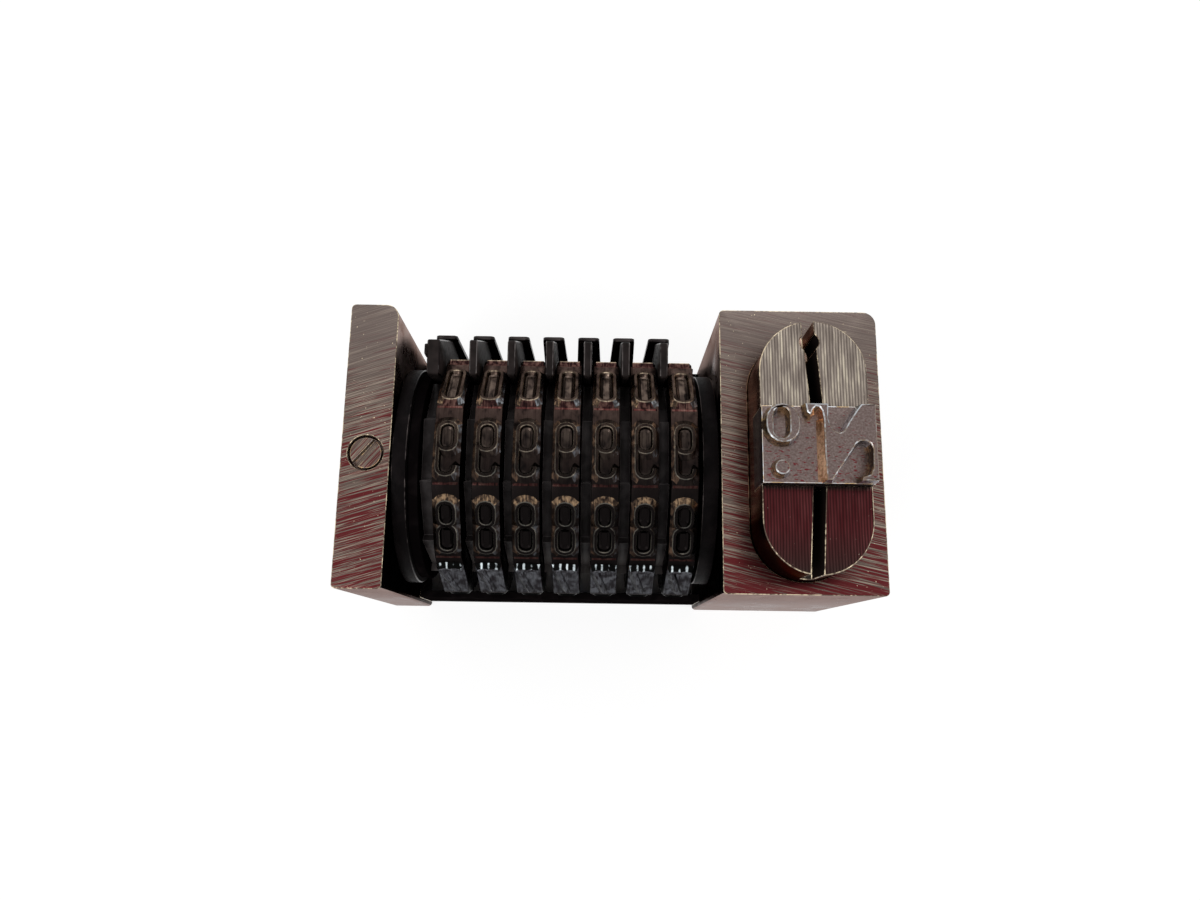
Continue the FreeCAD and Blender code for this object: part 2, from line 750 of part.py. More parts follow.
def comb_outline():
    """Spring comb seen from the rear: a long foot and one tapering finger behind each detent."""
    left, right = well_left + comb_end_margin, well_right - comb_end_margin
    corners = [(right, comb_foot_high, 0), (right, comb_foot_low, 0), (left, comb_foot_low, 0),
               (left, comb_foot_high, 0)]
    for index in range(wheel_count):
        middle = gap_middle(index)
        root = (wheel_pitch - comb_finger_root_gap) / 2
        tip = (wheel_pitch - comb_finger_gap) / 2
        corners += [(middle - root, comb_foot_high, 0), (middle - tip, comb_finger_top, comb_corner_radius),
                    (middle + tip, comb_finger_top, comb_corner_radius), (middle + root, comb_foot_high, 0)]
    return corners


def make_comb():
    comb = rear_plate(comb_outline(), wall_rear, comb_rear)
    return comb.cut(comb_screws(press_gap, overrun))


def drive_groove():
    """Level groove in the side of the plunger that the drive pin lifts and lowers."""
    y, z = drive_pin_place()
    reach = drive_pin_radius + drive_groove_gap
    rise = drive_pin_circle * (1 - math.cos(math.radians(swing_stroke / 2)))
    side = plunger_x - plunger_hole_width / 2
    return block(side - overrun, drive_pin_end() + drive_groove_end_gap, y - reach, y + rise + reach,
                 z - reach, z + reach)


def spring_places():
    return [plunger_y - spring_spread, plunger_y + spring_spread]


def saw_cut(x, front, rear, pivot, turn):
    """Cut down from the top of the plunger, turned a little in plan about a place on its line."""
    cut = block(x - slit_width / 2, x + slit_width / 2, front, rear, plunger_top - slit_depth,
                plunger_top + overrun)
    cut.rotate(FreeCAD.Vector(x, pivot, 0), FreeCAD.Vector(0, 0, 1), turn)
    return cut


def make_plunger():
    """Stadium-shaped plunger, sawn along its top from both ends and grooved across for the sign."""
    width = plunger_hole_width - 2 * slide_gap
    length = plunger_hole_length - 2 * slide_gap
    body = stadium(plunger_x, plunger_y, width, length, plunger_foot_height, plunger_top)
    groove = block(plunger_x - width, plunger_x + width, sign_front - press_gap, sign_rear + press_gap,
                   sign_floor, plunger_top + overrun)
    slit_x = plunger_x + slit_offset
    keyhole_y = plunger_rear - keyhole_rear_inset
    sign_middle = (sign_front + sign_rear) / 2
    slits = [saw_cut(slit_x, sign_middle, plunger_y + length, keyhole_y, rear_slit_turn),
             saw_cut(slit_x, plunger_y - length, sign_middle, plunger_y - length / 2, front_slit_turn)]
    keyhole = post(slit_x, keyhole_y, keyhole_radius, plunger_top - slit_depth, plunger_top + overrun)
    pockets = [post(plunger_x, y, spring_pocket_radius, plunger_foot_height - overrun,
                    plunger_foot_height + spring_pocket_depth) for y in spring_places()]
    return body.cut([groove, keyhole, drive_groove()] + slits + pockets).removeSplitter()


def make_sign_block():
    """Block let into the plunger, with the raised pad that its sign is cut from."""
    half = plunger_hole_width / 2
    shoulder = plunger_top + sign_shoulder_above
    body = block(plunger_x - half, plunger_x + half, sign_front, sign_rear, sign_floor, shoulder)
    rings = []
    for margin, height in ((sign_face_margin, shoulder),
                           (sign_face_margin + sign_face_slope, shoulder + sign_relief)):
        x0, x1 = plunger_x - half + margin, plunger_x + half - margin
        y0, y1 = sign_front + margin, sign_rear - margin
        points = [FreeCAD.Vector(x, y, height) for x, y in ((x0, y0), (x1, y0), (x1, y1), (x0, y1))]
        rings.append(Part.makePolygon(points + points[:1]))
    return body.fuse(Part.makeLoft(rings, True, True)).removeSplitter()


def make_plunger_spring(y):
    """Compression spring from the base plate up into its pocket."""
    radius = spring_outer_radius - spring_wire / 2
    length = plunger_foot_height + spring_pocket_depth - base_plate_thickness
    pitch = (length - spring_wire - 2 * press_gap) / spring_turns
    spring = coil(radius, pitch, spring_turns, spring_wire, 0)
    low = base_plate_thickness + press_gap + spring_wire / 2
    return spring.translated(FreeCAD.Vector(plunger_x, y, low))


def least_coil_gap(pitch, wire):
    """Space between neighbouring turns, measured between their middles less the wire."""
    return pitch - wire


def build():
    nodes = {
        "case": make_case(),
        "base_plate": make_base_plate(),
        "base_plate_screws": Part.makeCompound(base_screws(0, 0)),
        "shaft_lock_screw": make_lock_screw(),
        "wheel_shaft": make_shaft(),
        "left_washer": disc(left_washer_radius, left_cheek_right + side_gap, stack_left - side_gap),
        "right_washer": disc(right_washer_radius, stack_right + side_gap, right_cheek_left - side_gap),
        "swing_left_cheek": make_cheek(left_cheek_radius, left_cheek_left, left_cheek_right),
        "swing_right_cheek": make_right_cheek(),
        "swing_drive_pin": make_drive_pin(),
        "swing_tie_rod": make_swing_rod(tie_rod_angle),
        "pawl_rod": make_swing_rod(pawl_rod_angle),
        "advancing_pawl": make_pawl(),
        "pawl_spring": make_pawl_spring(),
        "detent_rod": make_detent_rod(),
        "detent_spacers": make_detent_spacers(),
        "detent_spring_comb": make_comb(),
        "comb_screws": Part.makeCompound(comb_screws(0, 0)),
        "plunger": make_plunger(),
        "sign_block": make_sign_block(),
    }
    wheel = make_wheel()
    for index in range(wheel_count):
        number = index + 1
        nodes[f"numeral_wheel_{number}"] = wheel.translated(FreeCAD.Vector(wheel_middle(index), 0, 0))
        nodes[f"ratchet_{number}"] = make_ratchet(index)
        nodes[f"detent_{number}"] = make_detent(index)
    for name, y in zip(("front", "rear"), spring_places()):
        nodes[f"plunger_spring_{name}"] = make_plunger_spring(y)
    return nodes


os.makedirs("parts", exist_ok=True)
for name, shape in build().items():
    shape.exportStep(f"parts/{name}.step")
    print(name, len(shape.Solids), "solid", round(shape.Volume, 2), "mm3", "valid", shape.isValid())
print("drive pin circle", round(drive_pin_circle, 3))
print("least gap between turns of the pawl spring", round(least_coil_gap(pawl_spring_pitch, pawl_spring_wire), 2))
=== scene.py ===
import json
import math

import bmesh
import bpy
from mathutils import Matrix, Vector


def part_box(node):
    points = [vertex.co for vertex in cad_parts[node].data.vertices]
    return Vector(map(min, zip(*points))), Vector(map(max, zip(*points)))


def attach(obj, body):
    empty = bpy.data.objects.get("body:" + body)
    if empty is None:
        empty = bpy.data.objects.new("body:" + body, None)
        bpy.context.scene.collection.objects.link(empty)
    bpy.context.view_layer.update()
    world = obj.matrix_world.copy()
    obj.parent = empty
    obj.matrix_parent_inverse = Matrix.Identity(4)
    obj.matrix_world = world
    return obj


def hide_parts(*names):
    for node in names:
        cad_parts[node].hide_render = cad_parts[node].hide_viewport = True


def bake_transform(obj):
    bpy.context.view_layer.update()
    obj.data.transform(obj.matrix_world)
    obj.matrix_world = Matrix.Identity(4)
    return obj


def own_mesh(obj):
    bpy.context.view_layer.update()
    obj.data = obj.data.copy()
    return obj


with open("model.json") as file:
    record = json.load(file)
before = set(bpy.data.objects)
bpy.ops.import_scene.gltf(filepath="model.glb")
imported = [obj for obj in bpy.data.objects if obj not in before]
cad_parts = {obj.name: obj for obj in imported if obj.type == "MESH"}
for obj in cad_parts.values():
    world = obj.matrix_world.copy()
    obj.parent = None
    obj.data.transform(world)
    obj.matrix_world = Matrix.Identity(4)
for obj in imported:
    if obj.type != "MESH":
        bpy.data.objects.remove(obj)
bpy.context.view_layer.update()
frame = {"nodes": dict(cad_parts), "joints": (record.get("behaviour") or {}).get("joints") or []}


# Camera
# The photograph was taken by hand from almost above the machine, a little to its front, so the camera
# stands 69 mm above the top of the case and looks down at 77 degrees with a slight roll.
MM = 0.001
photo_width = 1200
focal_pixels = 924.0
camera_place = Vector((-1.30, -15.93, 68.65))
camera_elevation = 77.23
camera_roll = 2.20
camera_yaw = -1.35

sensor_width = 36
nearest_seen = 4.0


def put_in(name, data):
    """Object in the scene that holds a mesh, a curve, a lamp or the camera."""
    thing = bpy.data.objects.new(name, data)
    bpy.context.scene.collection.objects.link(thing)
    return thing


case_low, case_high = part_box("case")
camera_data = bpy.data.cameras.new("photograph")
camera_data.sensor_width = sensor_width
camera_data.lens = focal_pixels / photo_width * sensor_width
camera_data.clip_start = nearest_seen * MM
camera = put_in("photograph", camera_data)
camera.matrix_world = (Matrix.Translation(camera_place * MM + Vector((0, 0, case_high.z)))
                       @ Matrix.Rotation(math.radians(camera_yaw), 4, "Z")
                       @ Matrix.Rotation(math.radians(90 - camera_elevation), 4, "X")
                       @ Matrix.Rotation(math.radians(camera_roll), 4, "Z"))
bpy.context.scene.camera = camera
bpy.context.scene.view_settings.view_transform = "Standard"


# Studio
# A wide pale floor, an even white surrounding and three soft lamps. Camera and mirror rays see floor and
# surrounding as white, while the floor still darkens where the machine shades it.
white = (1, 1, 1, 1)
floor_size = 3.0
floor_grey = (0.8, 0.8, 0.8, 1)
floor_shadow_share = 0.35
floor_white = 1.24
surround_level = 0.62
lamps = (("key", (-0.28, -0.24, 0.42), 0.26, 0.62),
         ("fill", (0.40, -0.16, 0.26), 0.30, 0.30),
         ("rim", (0.06, 0.42, 0.30), 0.34, 0.34))


def add_node(tree, kind, inputs, **settings):
    """Adds a node; an input is a plain value or the output of another node."""
    node = tree.nodes.new(kind)
    for name, value in settings.items():
        setattr(node, name, value)
    for name, value in inputs.items():
        if isinstance(value, bpy.types.NodeSocket):
            tree.links.new(value, node.inputs[name])
        else:
            node.inputs[name].default_value = value
    return node


def calculate(tree, operation, first, second=0.0, third=0.0):
    """One sum on plain values or on the outputs of nodes."""
    node = add_node(tree, "ShaderNodeMath", {0: first, 1: second, 2: third}, operation=operation)
    return node.outputs[0]


def level(tree, source, low, high, to_low=0.0, to_high=1.0):
    """Takes the stretch from low to high of a value and lays it between two others."""
    share = add_node(tree, "ShaderNodeMapRange", {"Value": source, "From Min": low, "From Max": high,
                                                  "To Min": to_low, "To Max": to_high})
    return share.outputs[0]


def seen_directly(tree):
    """1 for camera, mirror and glass rays, and 0 for the light that falls on things."""
    rays = add_node(tree, "ShaderNodeLightPath", {}).outputs
    mirror = calculate(tree, "MAXIMUM", rays["Is Camera Ray"], rays["Is Glossy Ray"])
    return calculate(tree, "MAXIMUM", mirror, rays["Is Transmission Ray"])


def emptied(holder):
    """Node tree of a material or of the surrounding, without the nodes that it starts with."""
    holder.use_nodes = True
    holder.node_tree.nodes.clear()
    return holder.node_tree


world = bpy.data.worlds.new("white surrounding")
world_tree = emptied(world)
world_level = level(world_tree, seen_directly(world_tree), 0.0, 1.0, surround_level, 1.0)
world_light = add_node(world_tree, "ShaderNodeBackground", {"Color": white, "Strength": world_level})
add_node(world_tree, "ShaderNodeOutputWorld", {"Surface": world_light.outputs[0]})
bpy.context.scene.world = world

floor_mesh = bpy.data.meshes.new("floor")
shape = bmesh.new()
bmesh.ops.create_grid(shape, x_segments=1, y_segments=1, size=floor_size / 2)
shape.to_mesh(floor_mesh)
shape.free()
floor = put_in("floor", floor_mesh)
floor_finish = bpy.data.materials.new("pale floor")
floor_tree = emptied(floor_finish)
floor_paper = add_node(floor_tree, "ShaderNodeBsdfDiffuse", {"Color": floor_grey})
floor_glow = add_node(floor_tree, "ShaderNodeEmission", {"Color": white, "Strength": floor_white})
floor_share = calculate(floor_tree, "MULTIPLY", seen_directly(floor_tree), 1 - floor_shadow_share)
floor_mix = add_node(floor_tree, "ShaderNodeMixShader", {0: floor_share, 1: floor_paper.outputs[0],
                                                         2: floor_glow.outputs[0]})
add_node(floor_tree, "ShaderNodeOutputMaterial", {"Surface": floor_mix.outputs[0]})
floor_mesh.materials.append(floor_finish)

for lamp_name, lamp_place, lamp_size, lamp_power in lamps:
    lamp_data = bpy.data.lights.new(lamp_name, "AREA")
    lamp_data.shape = "DISK"
    lamp_data.size = lamp_size
    lamp_data.energy = lamp_power
    lamp = put_in(lamp_name, lamp_data)
    lamp.location = lamp_place
    lamp.rotation_euler = (-Vector(lamp_place)).to_track_quat("-Z", "Y").to_euler()


# Case
# One steel piece: a narrow block on the left, a wide one on the right and two low walls between them.
# The tops are ground by hand with slanting strokes that hold dried ink; the walls are blackened.
well_left = -16.8975 * MM
well_right = 8.3075 * MM
case_edge = 0.06 * MM
case_top_normal = 0.9
top_skin = 0.1 * MM
wall_overlap = 0.02 * MM
merge_gap = 0.002 * MM
flat_angle = 0.5
sharp_angle = 30.0
smooth_angle = 35.0
edge_rings = 2
edge_profile = 0.5
ground_dark = (0.088, 0.064, 0.053, 1)
ground_grey = (0.135, 0.103, 0.088, 1)
ground_light = (0.33, 0.27, 0.215, 1)
ground_plain = (0.165, 0.132, 0.122, 1)
ink_red = (0.105, 0.018, 0.020, 1)
block_side_grey = (0.41, 0.33, 0.305, 1)
block_side_dark = (0.345, 0.28, 0.26, 1)
inner_side_shade = (0.006, 0.005, 0.005, 1)
block_side_tint = (0.45, 0.38, 0.37, 1)
inner_side_grey = (0.54, 0.435, 0.40, 1)
inner_side_dark = (0.33, 0.25, 0.225, 1)
inner_side_tint = (0.30, 0.26, 0.25, 1)
inner_shade_reach = (7.2, 3.2)
burr_bright = (0.72, 0.60, 0.42, 1)
burr_dull = (0.10, 0.072, 0.055, 1)
black_oil = (0.0034, 0.0026, 0.0028, 1)
black_worn = (0.010, 0.0075, 0.0078, 1)
black_shine = 0.05
left_stroke_angle = 16.0
right_stroke_angle = -14.0


def new_finish(name, metallic, roughness, shine=0.5, tint=white):
    """A material whose uniform values sit on the shader's own sockets; returns it and its node tree."""
    finish = bpy.data.materials.new(name)
    finish.use_nodes = True
    sockets = finish.node_tree.nodes["Principled BSDF"].inputs
    sockets["Metallic"].default_value = metallic
    sockets["Roughness"].default_value = roughness
    sockets["Specular IOR Level"].default_value = shine
    sockets["Specular Tint"].default_value = tint
    return finish, finish.node_tree


def grain(tree, size, turn=0.0, detail=3.0, distortion=0.0, offset=(0, 0, 0)):
    """Noise whose spots have the given size in millimetres along x, y and z, turned about z."""
    place = add_node(tree, "ShaderNodeTexCoord", {})
    stretch = add_node(tree, "ShaderNodeMapping", {"Vector": place.outputs["Object"],
                                                   "Location": [part * MM for part in offset],
                                                   "Rotation": (0, 0, math.radians(turn)),
                                                   "Scale": [part * MM for part in size]},
                       vector_type="TEXTURE")
    noise = add_node(tree, "ShaderNodeTexNoise", {"Vector": stretch.outputs[0], "Scale": 1.0,
                                                  "Detail": detail, "Distortion": distortion})
    return noise.outputs[0]


def height_along(tree, axis, low, high):
    """Runs from 0 to 1 between two places in millimetres along an axis."""
    place = add_node(tree, "ShaderNodeTexCoord", {})
    parts = add_node(tree, "ShaderNodeSeparateXYZ", {0: place.outputs["Object"]})
    return level(tree, parts.outputs[axis], low * MM, high * MM)


def shade(tree, source, stops):
    """Colour chosen by a value: each stop is (value, colour)."""
    ramp = add_node(tree, "ShaderNodeValToRGB", {"Fac": source})
    points = ramp.color_ramp.elements
    while len(points) < len(stops):
        points.new(0.5)
    for point, (value, colour) in zip(points, stops):
        point.position = value
        point.color = colour
    return ramp.outputs["Color"]


def between(tree, share, first, second):
    """Mix of two colours; a share of 0 gives the first."""
    mix = add_node(tree, "ShaderNodeMix", {0: share, 6: first, 7: second}, data_type="RGBA")
    return mix.outputs[2]


def coat(tree, colour, height, depth, roughness=None):
    """Lays a colour, a bump of a given depth in millimetres and an uneven roughness on a finish."""
    sockets = tree.nodes["Principled BSDF"].inputs
    bump = add_node(tree, "ShaderNodeBump", {"Height": height, "Distance": depth * MM, "Strength": 1.0})
    tree.links.new(colour, sockets["Base Color"])
    tree.links.new(bump.outputs[0], sockets["Normal"])
    if roughness is not None:
        tree.links.new(roughness, sockets["Roughness"])


def hand_ground_steel(name, stroke_angle, offset):
    """Grey steel with slanting file strokes, ink left in them and more of it towards the front."""
    finish, tree = new_finish(name, 1.0, 0.38)
    strokes = grain(tree, (4.2, 0.10, 1.0), stroke_angle, 4.0, 0.12, offset)
    fine = grain(tree, (5.0, 0.05, 1.0), stroke_angle + 3, 2.0, 0.0, offset)
    cloud = grain(tree, (3.0, 3.0, 3.0), 0, 3.0, 0.0, offset)
    specks = grain(tree, (0.14, 0.14, 0.14), 0, 1.0, 0.0, offset)
    front = height_along(tree, "Y", 9.0, -11.0)
    ink_reach = calculate(tree, "MULTIPLY_ADD", front, 0.20, 0.225)
    ink_reach = calculate(tree, "MULTIPLY_ADD", cloud, 0.22, ink_reach)
    inked = level(tree, strokes, calculate(tree, "ADD", ink_reach, 0.06), ink_reach)
    rear = calculate(tree, "MULTIPLY", height_along(tree, "Y", 2.0, 9.0), 0.6)
    colour = shade(tree, fine, ((0.32, ground_dark), (0.50, ground_grey), (0.68, ground_light)))
    colour = between(tree, inked, colour, ink_red)
    colour = between(tree, level(tree, fine, 0.60, 0.70, 0.0, 0.65), colour, ground_light)
    colour = between(tree, rear, colour, ground_plain)
    colour = between(tree, level(tree, specks, 0.76, 0.79), colour, burr_bright)
    coat(tree, colour, strokes, 0.02, level(tree, fine, 0.3, 0.7, 0.30, 0.52))
    return finish


def smooth_steel(name, light, dark, roughness=0.3, tint=white):
    """Fine ground steel with faint clouds and hairlines."""
    finish, tree = new_finish(name, 1.0, roughness, tint=tint)
    cloud = grain(tree, (2.2, 2.2, 3.0), 0, 4.0, 0.6)
    hairlines = grain(tree, (5.0, 5.0, 0.05), 0, 2.0)
    colour = shade(tree, cloud, ((0.32, dark), (0.62, light)))
    colour = between(tree, level(tree, hairlines, 0.60, 0.75, 0.0, 0.35), colour, dark)
    coat(tree, colour, hairlines, 0.004, level(tree, cloud, 0.3, 0.7, roughness - 0.08, roughness + 0.14))
    return finish


def burred_edge(name, bright, dull, spot=0.22):
    """The raised, broken burr that grinding leaves along an edge."""
    finish, tree = new_finish(name, 1.0, 0.3)
    spots = grain(tree, (spot, spot, spot), 0, 4.0)
    patches = grain(tree, (8 * spot, 8 * spot, 8 * spot), 0, 2.0)
    both = calculate(tree, "MULTIPLY_ADD", patches, 0.5, calculate(tree, "MULTIPLY", spots, 0.5))
    coat(tree, shade(tree, both, ((0.44, dull), (0.58, bright))), spots, 0.03)
    return finish


def shaded_inner_side(name):
    """Smooth side of a block, light at the rear, with painted shade darkening it towards the front, as the
    light falls from the rear.
    """
    finish, tree = new_finish(name, 1.0, 0.30, tint=inner_side_tint)
    cloud = grain(tree, (2.2, 2.2, 3.0), 0, 4.0, 0.6)
    # painted shade: the inner side goes near black towards the front
    painted_shade = calculate(tree, "MULTIPLY_ADD", cloud, 0.5, height_along(tree, "Y", *inner_shade_reach))
    colour = shade(tree, cloud, ((0.32, inner_side_dark), (0.62, inner_side_grey)))
    colour = between(tree, level(tree, painted_shade, 0.3, 1.1), colour, inner_side_shade)
    coat(tree, colour, cloud, 0.01, level(tree, cloud, 0.3, 0.7, 0.22, 0.42))
    return finish


def blackened_steel(name, dark, worn, roughness=0.3, shine=black_shine):
    """Blackened, oiled steel that rubs through to brown-grey in places."""
    finish, tree = new_finish(name, 0.0, roughness, shine)
    cloud = grain(tree, (1.6, 1.6, 1.6), 0, 5.0, 0.4)
    fine = grain(tree, (0.12, 0.5, 0.12), 0, 2.0)
    colour = shade(tree, cloud, ((0.45, dark), (0.78, worn)))
    coat(tree, colour, fine, 0.006, level(tree, fine, 0.3, 0.7, roughness - 0.08, roughness + 0.15))
    return finish


def merged_copy(node):
    """Copy of a CAD node's mesh, its loose triangles joined."""
    shape = bmesh.new()
    shape.from_mesh(frame["nodes"][node].data)
    bmesh.ops.remove_doubles(shape, verts=shape.verts, dist=merge_gap)
    return shape


def sharp_edges(shape):
    """Edges where two faces meet at more than the sharp angle."""
    return [line for line in shape.edges if len(line.link_faces) == 2
            and line.calc_face_angle() > math.radians(sharp_angle)]


def ease(shape, edges, width, rings=edge_rings):
    """Eases some edges and returns the new faces."""
    made = bmesh.ops.bevel(shape, geom=edges, offset=width, offset_type="OFFSET", affect="EDGES",
                           segments=rings, profile=edge_profile, material=-1)
    return set(made["faces"])


def eased_copy(node, width):
    """Copy of a CAD node's mesh with its sharp edges eased; returns the shape and its new edge faces."""
    shape = merged_copy(node)
    bmesh.ops.dissolve_limit(shape, angle_limit=math.radians(flat_angle), verts=shape.verts,
                             edges=shape.edges)
    return shape, ease(shape, sharp_edges(shape), width)


def make_piece(name, shape, finishes, body, node):
    """Turns a shape into a finished piece in a CAD node's place; it rides on a body, if one is named."""
    mesh = bpy.data.meshes.new(name)
    bmesh.ops.triangulate(shape, faces=[face for face in shape.faces if len(face.verts) > 4])
    shape.to_mesh(mesh)
    shape.free()
    for finish in finishes:
        mesh.materials.append(finish)
    mesh.shade_smooth()
    mesh.set_sharp_from_angle(angle=math.radians(smooth_angle))
    piece = put_in(name, mesh)
    if body:
        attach(piece, body)
    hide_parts(node)
    return piece


def dress(node, finish):
    """Gives a CAD node that stays its finish."""
    held = frame["nodes"][node]
    if not held.material_slots:
        held.data.materials.append(finish)
    for place in held.material_slots:
        place.material = finish


on_side, on_left_top, on_right_top, on_burr, on_wall, on_inner_side = range(6)
case_finishes = [
    smooth_steel("block side", block_side_grey, block_side_dark, tint=block_side_tint),
    hand_ground_steel("left block top", left_stroke_angle, (0, 0, 0)),
    hand_ground_steel("right block top", right_stroke_angle, (40, 7, 0)),
    burred_edge("case burr", burr_bright, burr_dull),
    blackened_steel("blackened wall", black_oil, black_worn, 0.6, 0.0),
    shaded_inner_side("block inner side"),
]
shape, edge_faces = eased_copy("case", case_edge)
for corner in shape.verts:
    corner.co.z = max(corner.co.z, case_low.z)
for face in shape.faces:
    middle = face.calc_center_median()
    is_wall = well_left + wall_overlap < middle.x < well_right - wall_overlap
    if face in edge_faces:
        face.material_index = on_wall if is_wall else on_burr
    elif is_wall:
        face.material_index = on_wall
    elif face.normal.z > case_top_normal and middle.z > case_high.z - top_skin:
        face.material_index = on_left_top if middle.x < 0 else on_right_top
    elif well_left - top_skin < middle.x < well_right + top_skin:
        face.material_index = on_inner_side
make_piece("case_ground", shape, case_finishes, "root", "case")


# Base plate and its screws
# A blued steel sheet let into the underside of the case, held by four countersunk slotted screws.
plate_blue = (0.10, 0.10, 0.115, 1)
plate_worn = (0.22, 0.20, 0.19, 1)
screw_light = (0.40, 0.36, 0.32, 1)
screw_dark = (0.16, 0.13, 0.115, 1)

screw_finish = smooth_steel("turned screw", screw_light, screw_dark, 0.34)
dress("base_plate", smooth_steel("blued plate", plate_worn, plate_blue, 0.36))
dress("base_plate_screws", screw_finish)


# Shaft lock screw
# A slotted steel screw sunk in the top of the left block; its point bears on the flat of the wheel shaft.
# Its head is worn grey, and the edges of its slot show brass-coloured burrs.
lock_head_grey = (0.20, 0.165, 0.15, 1)
lock_head_light = (0.40, 0.34, 0.28, 1)
slot_burr = (0.72, 0.50, 0.24, 1)
lock_edge = 0.05 * MM

on_head, on_slot_burr = 1, 2
lock_finishes = [
    smooth_steel("lock screw side", lock_head_light, lock_head_grey),
    hand_ground_steel("lock screw head", 50.0, (3, 3, 0)),
    burred_edge("lock screw burr", slot_burr, lock_head_grey, 0.3),
]
shape, edge_faces = eased_copy("shaft_lock_screw", lock_edge)
for face in shape.faces:
    if face in edge_faces:
        face.material_index = on_slot_burr
    elif face.normal.z > case_top_normal:
        face.material_index = on_head
make_piece("shaft_lock_screw_turned", shape, lock_finishes, "root", "shaft_lock_screw")


# Wheel shaft and washers
# A ground steel shaft through the left block and every wheel into the right block, with a washer between
# the first wheel and the left cheek and a thin one between the last wheel and the right cheek.
shaft_light = (0.50, 0.48, 0.46, 1)
shaft_dark = (0.30, 0.28, 0.27, 1)

shaft_finish = smooth_steel("ground shaft", shaft_light, shaft_dark, 0.22)
washer_finish = blackened_steel("blackened washer", black_oil, black_worn, 0.45, 0.0)
dress("wheel_shaft", shaft_finish)
for washer in ("left_washer", "right_washer"):
    dress(washer, washer_finish)


# Numeral wheels
# Seven ten-sided wheels of brown plated metal, each side carrying one numeral cut in relief and mirrored,
# because it prints. The rims of the numerals are rubbed bright, and old ink darkens their hollows. Painted
# shade darkens the front of each wheel, a painted blue-grey reflection lies on its foremost face, and the
# slopes of the numerals carry painted warm light, cool light and shade by the way they face.
wheel_count = 7
digit_count = 10
digit_step = 2 * math.pi / digit_count
first_edge_angle = math.radians(14.1)
first_digit = 8
wheel_corner_radius = 9.86
type_radius = 9.78
wheel_bore = 2.05
bore_segments = 40
numeral_half_width = 0.67
numeral_half_height = 2.05
numeral_drop = 0.38
numeral_corner = 0.58
stroke_half = 0.155
stroke_outer_slope = 0.42
stroke_inner_slope = 0.10
stroke_edge = 0.06
stroke_sink = 0.03
stroke_end_share = 0.08
stroke_merge = 0.0005 * MM
repeat_gap = 0.01
height_play = 0.001
least_turn = 0.25
still_upward = 0.5
counter_height = 0.10
counter_reach = 0.50
floor_half = 0.26
floor_height = 0.03
floor_end = 0.62
wheel_edge = 0.11
rim_turn = 0.2
wheel_side_trim = 0.01
bowl_low = -0.08
waist = 0.12
waist_half = 0.5
hollow_digits = (0, 8)
bar_dip = 0.16
bar_crest_half = 0.1
hook_stop = 0.12
three_tip = -0.25
five_low_rise = 0.45
shade_start = 5.0
shade_full = -5.5
reflection_start = -8.95
reflection_full = -9.10
level_slope = 0.8
foremost_slope = -8.45
reflection_low = 14.0
reflection_high = 14.3
land_light = (0.095, 0.062, 0.052, 1)
land_mid = (0.060, 0.038, 0.032, 1)
counter_light = (0.150, 0.112, 0.090, 1)
counter_mid = (0.075, 0.054, 0.045, 1)
face_light = (0.100, 0.070, 0.054, 1)
face_mid = (0.055, 0.036, 0.029, 1)
hollow_light = (0.16, 0.12, 0.095, 1)
rim_light = (0.58, 0.46, 0.33, 1)
rim_mid = (0.22, 0.165, 0.12, 1)
rim_ink = (0.060, 0.060, 0.055, 1)
warm_highlight = (0.34, 0.225, 0.135, 1)
copper_mid = (0.052, 0.034, 0.025, 1)
cool_highlight = (0.30, 0.32, 0.34, 1)
steel_mid = (0.075, 0.072, 0.075, 1)
highlight_blue = (0.52, 0.58, 0.60, 1)
tick_pitch = 0.55
warm_side_light = (0.30, 0.18, 0.115, 1)
cool_side_light = (0.19, 0.20, 0.22, 1)
low_shade_reach = (-8.0, -8.6)
shade_band_light = (0.150, 0.080, 0.066, 1)
shade_band_dark = (0.026, 0.010, 0.010, 1)
corner_shade_red = (0.095, 0.028, 0.026, 1)
wheel_ink_and_shade = (0.0065, 0.0052, 0.0052, 1)
wheel_tint = (0.5, 0.5, 0.5, 1)
painted_front_shade = (0.003, 0.003, 0.003, 1)
reflection_light = (0.092, 0.094, 0.104, 1)
reflection_dark = (0.018, 0.016, 0.018, 1)

spin_joint = next(joint for joint in frame["joints"] if joint["child"] == "wheel_1")
axis = Vector(spin_joint["pos_m"])
flat_radius = wheel_corner_radius * math.cos(digit_step / 2)


def arc(across, up, radius, start, end, steps=6):
    """Points along an arc; degrees, 0 to the right and 90 upwards."""
    turns = [math.radians(start + (end - start) * i / steps) for i in range(steps + 1)]
    return [(across + radius * math.cos(turn), up + radius * math.sin(turn)) for turn in turns]


def ring(half_width, low, high, steps=3):
    """Closed loop with straight sides and rounded corners."""
    r = min(numeral_corner, half_width)
    x = half_width - r
    return (arc(x, high - r, r, 0, 90, steps) + arc(-x, high - r, r, 90, 180, steps)
            + arc(-x, low + r, r, 180, 270, steps) + arc(x, low + r, r, 270, 360, steps))


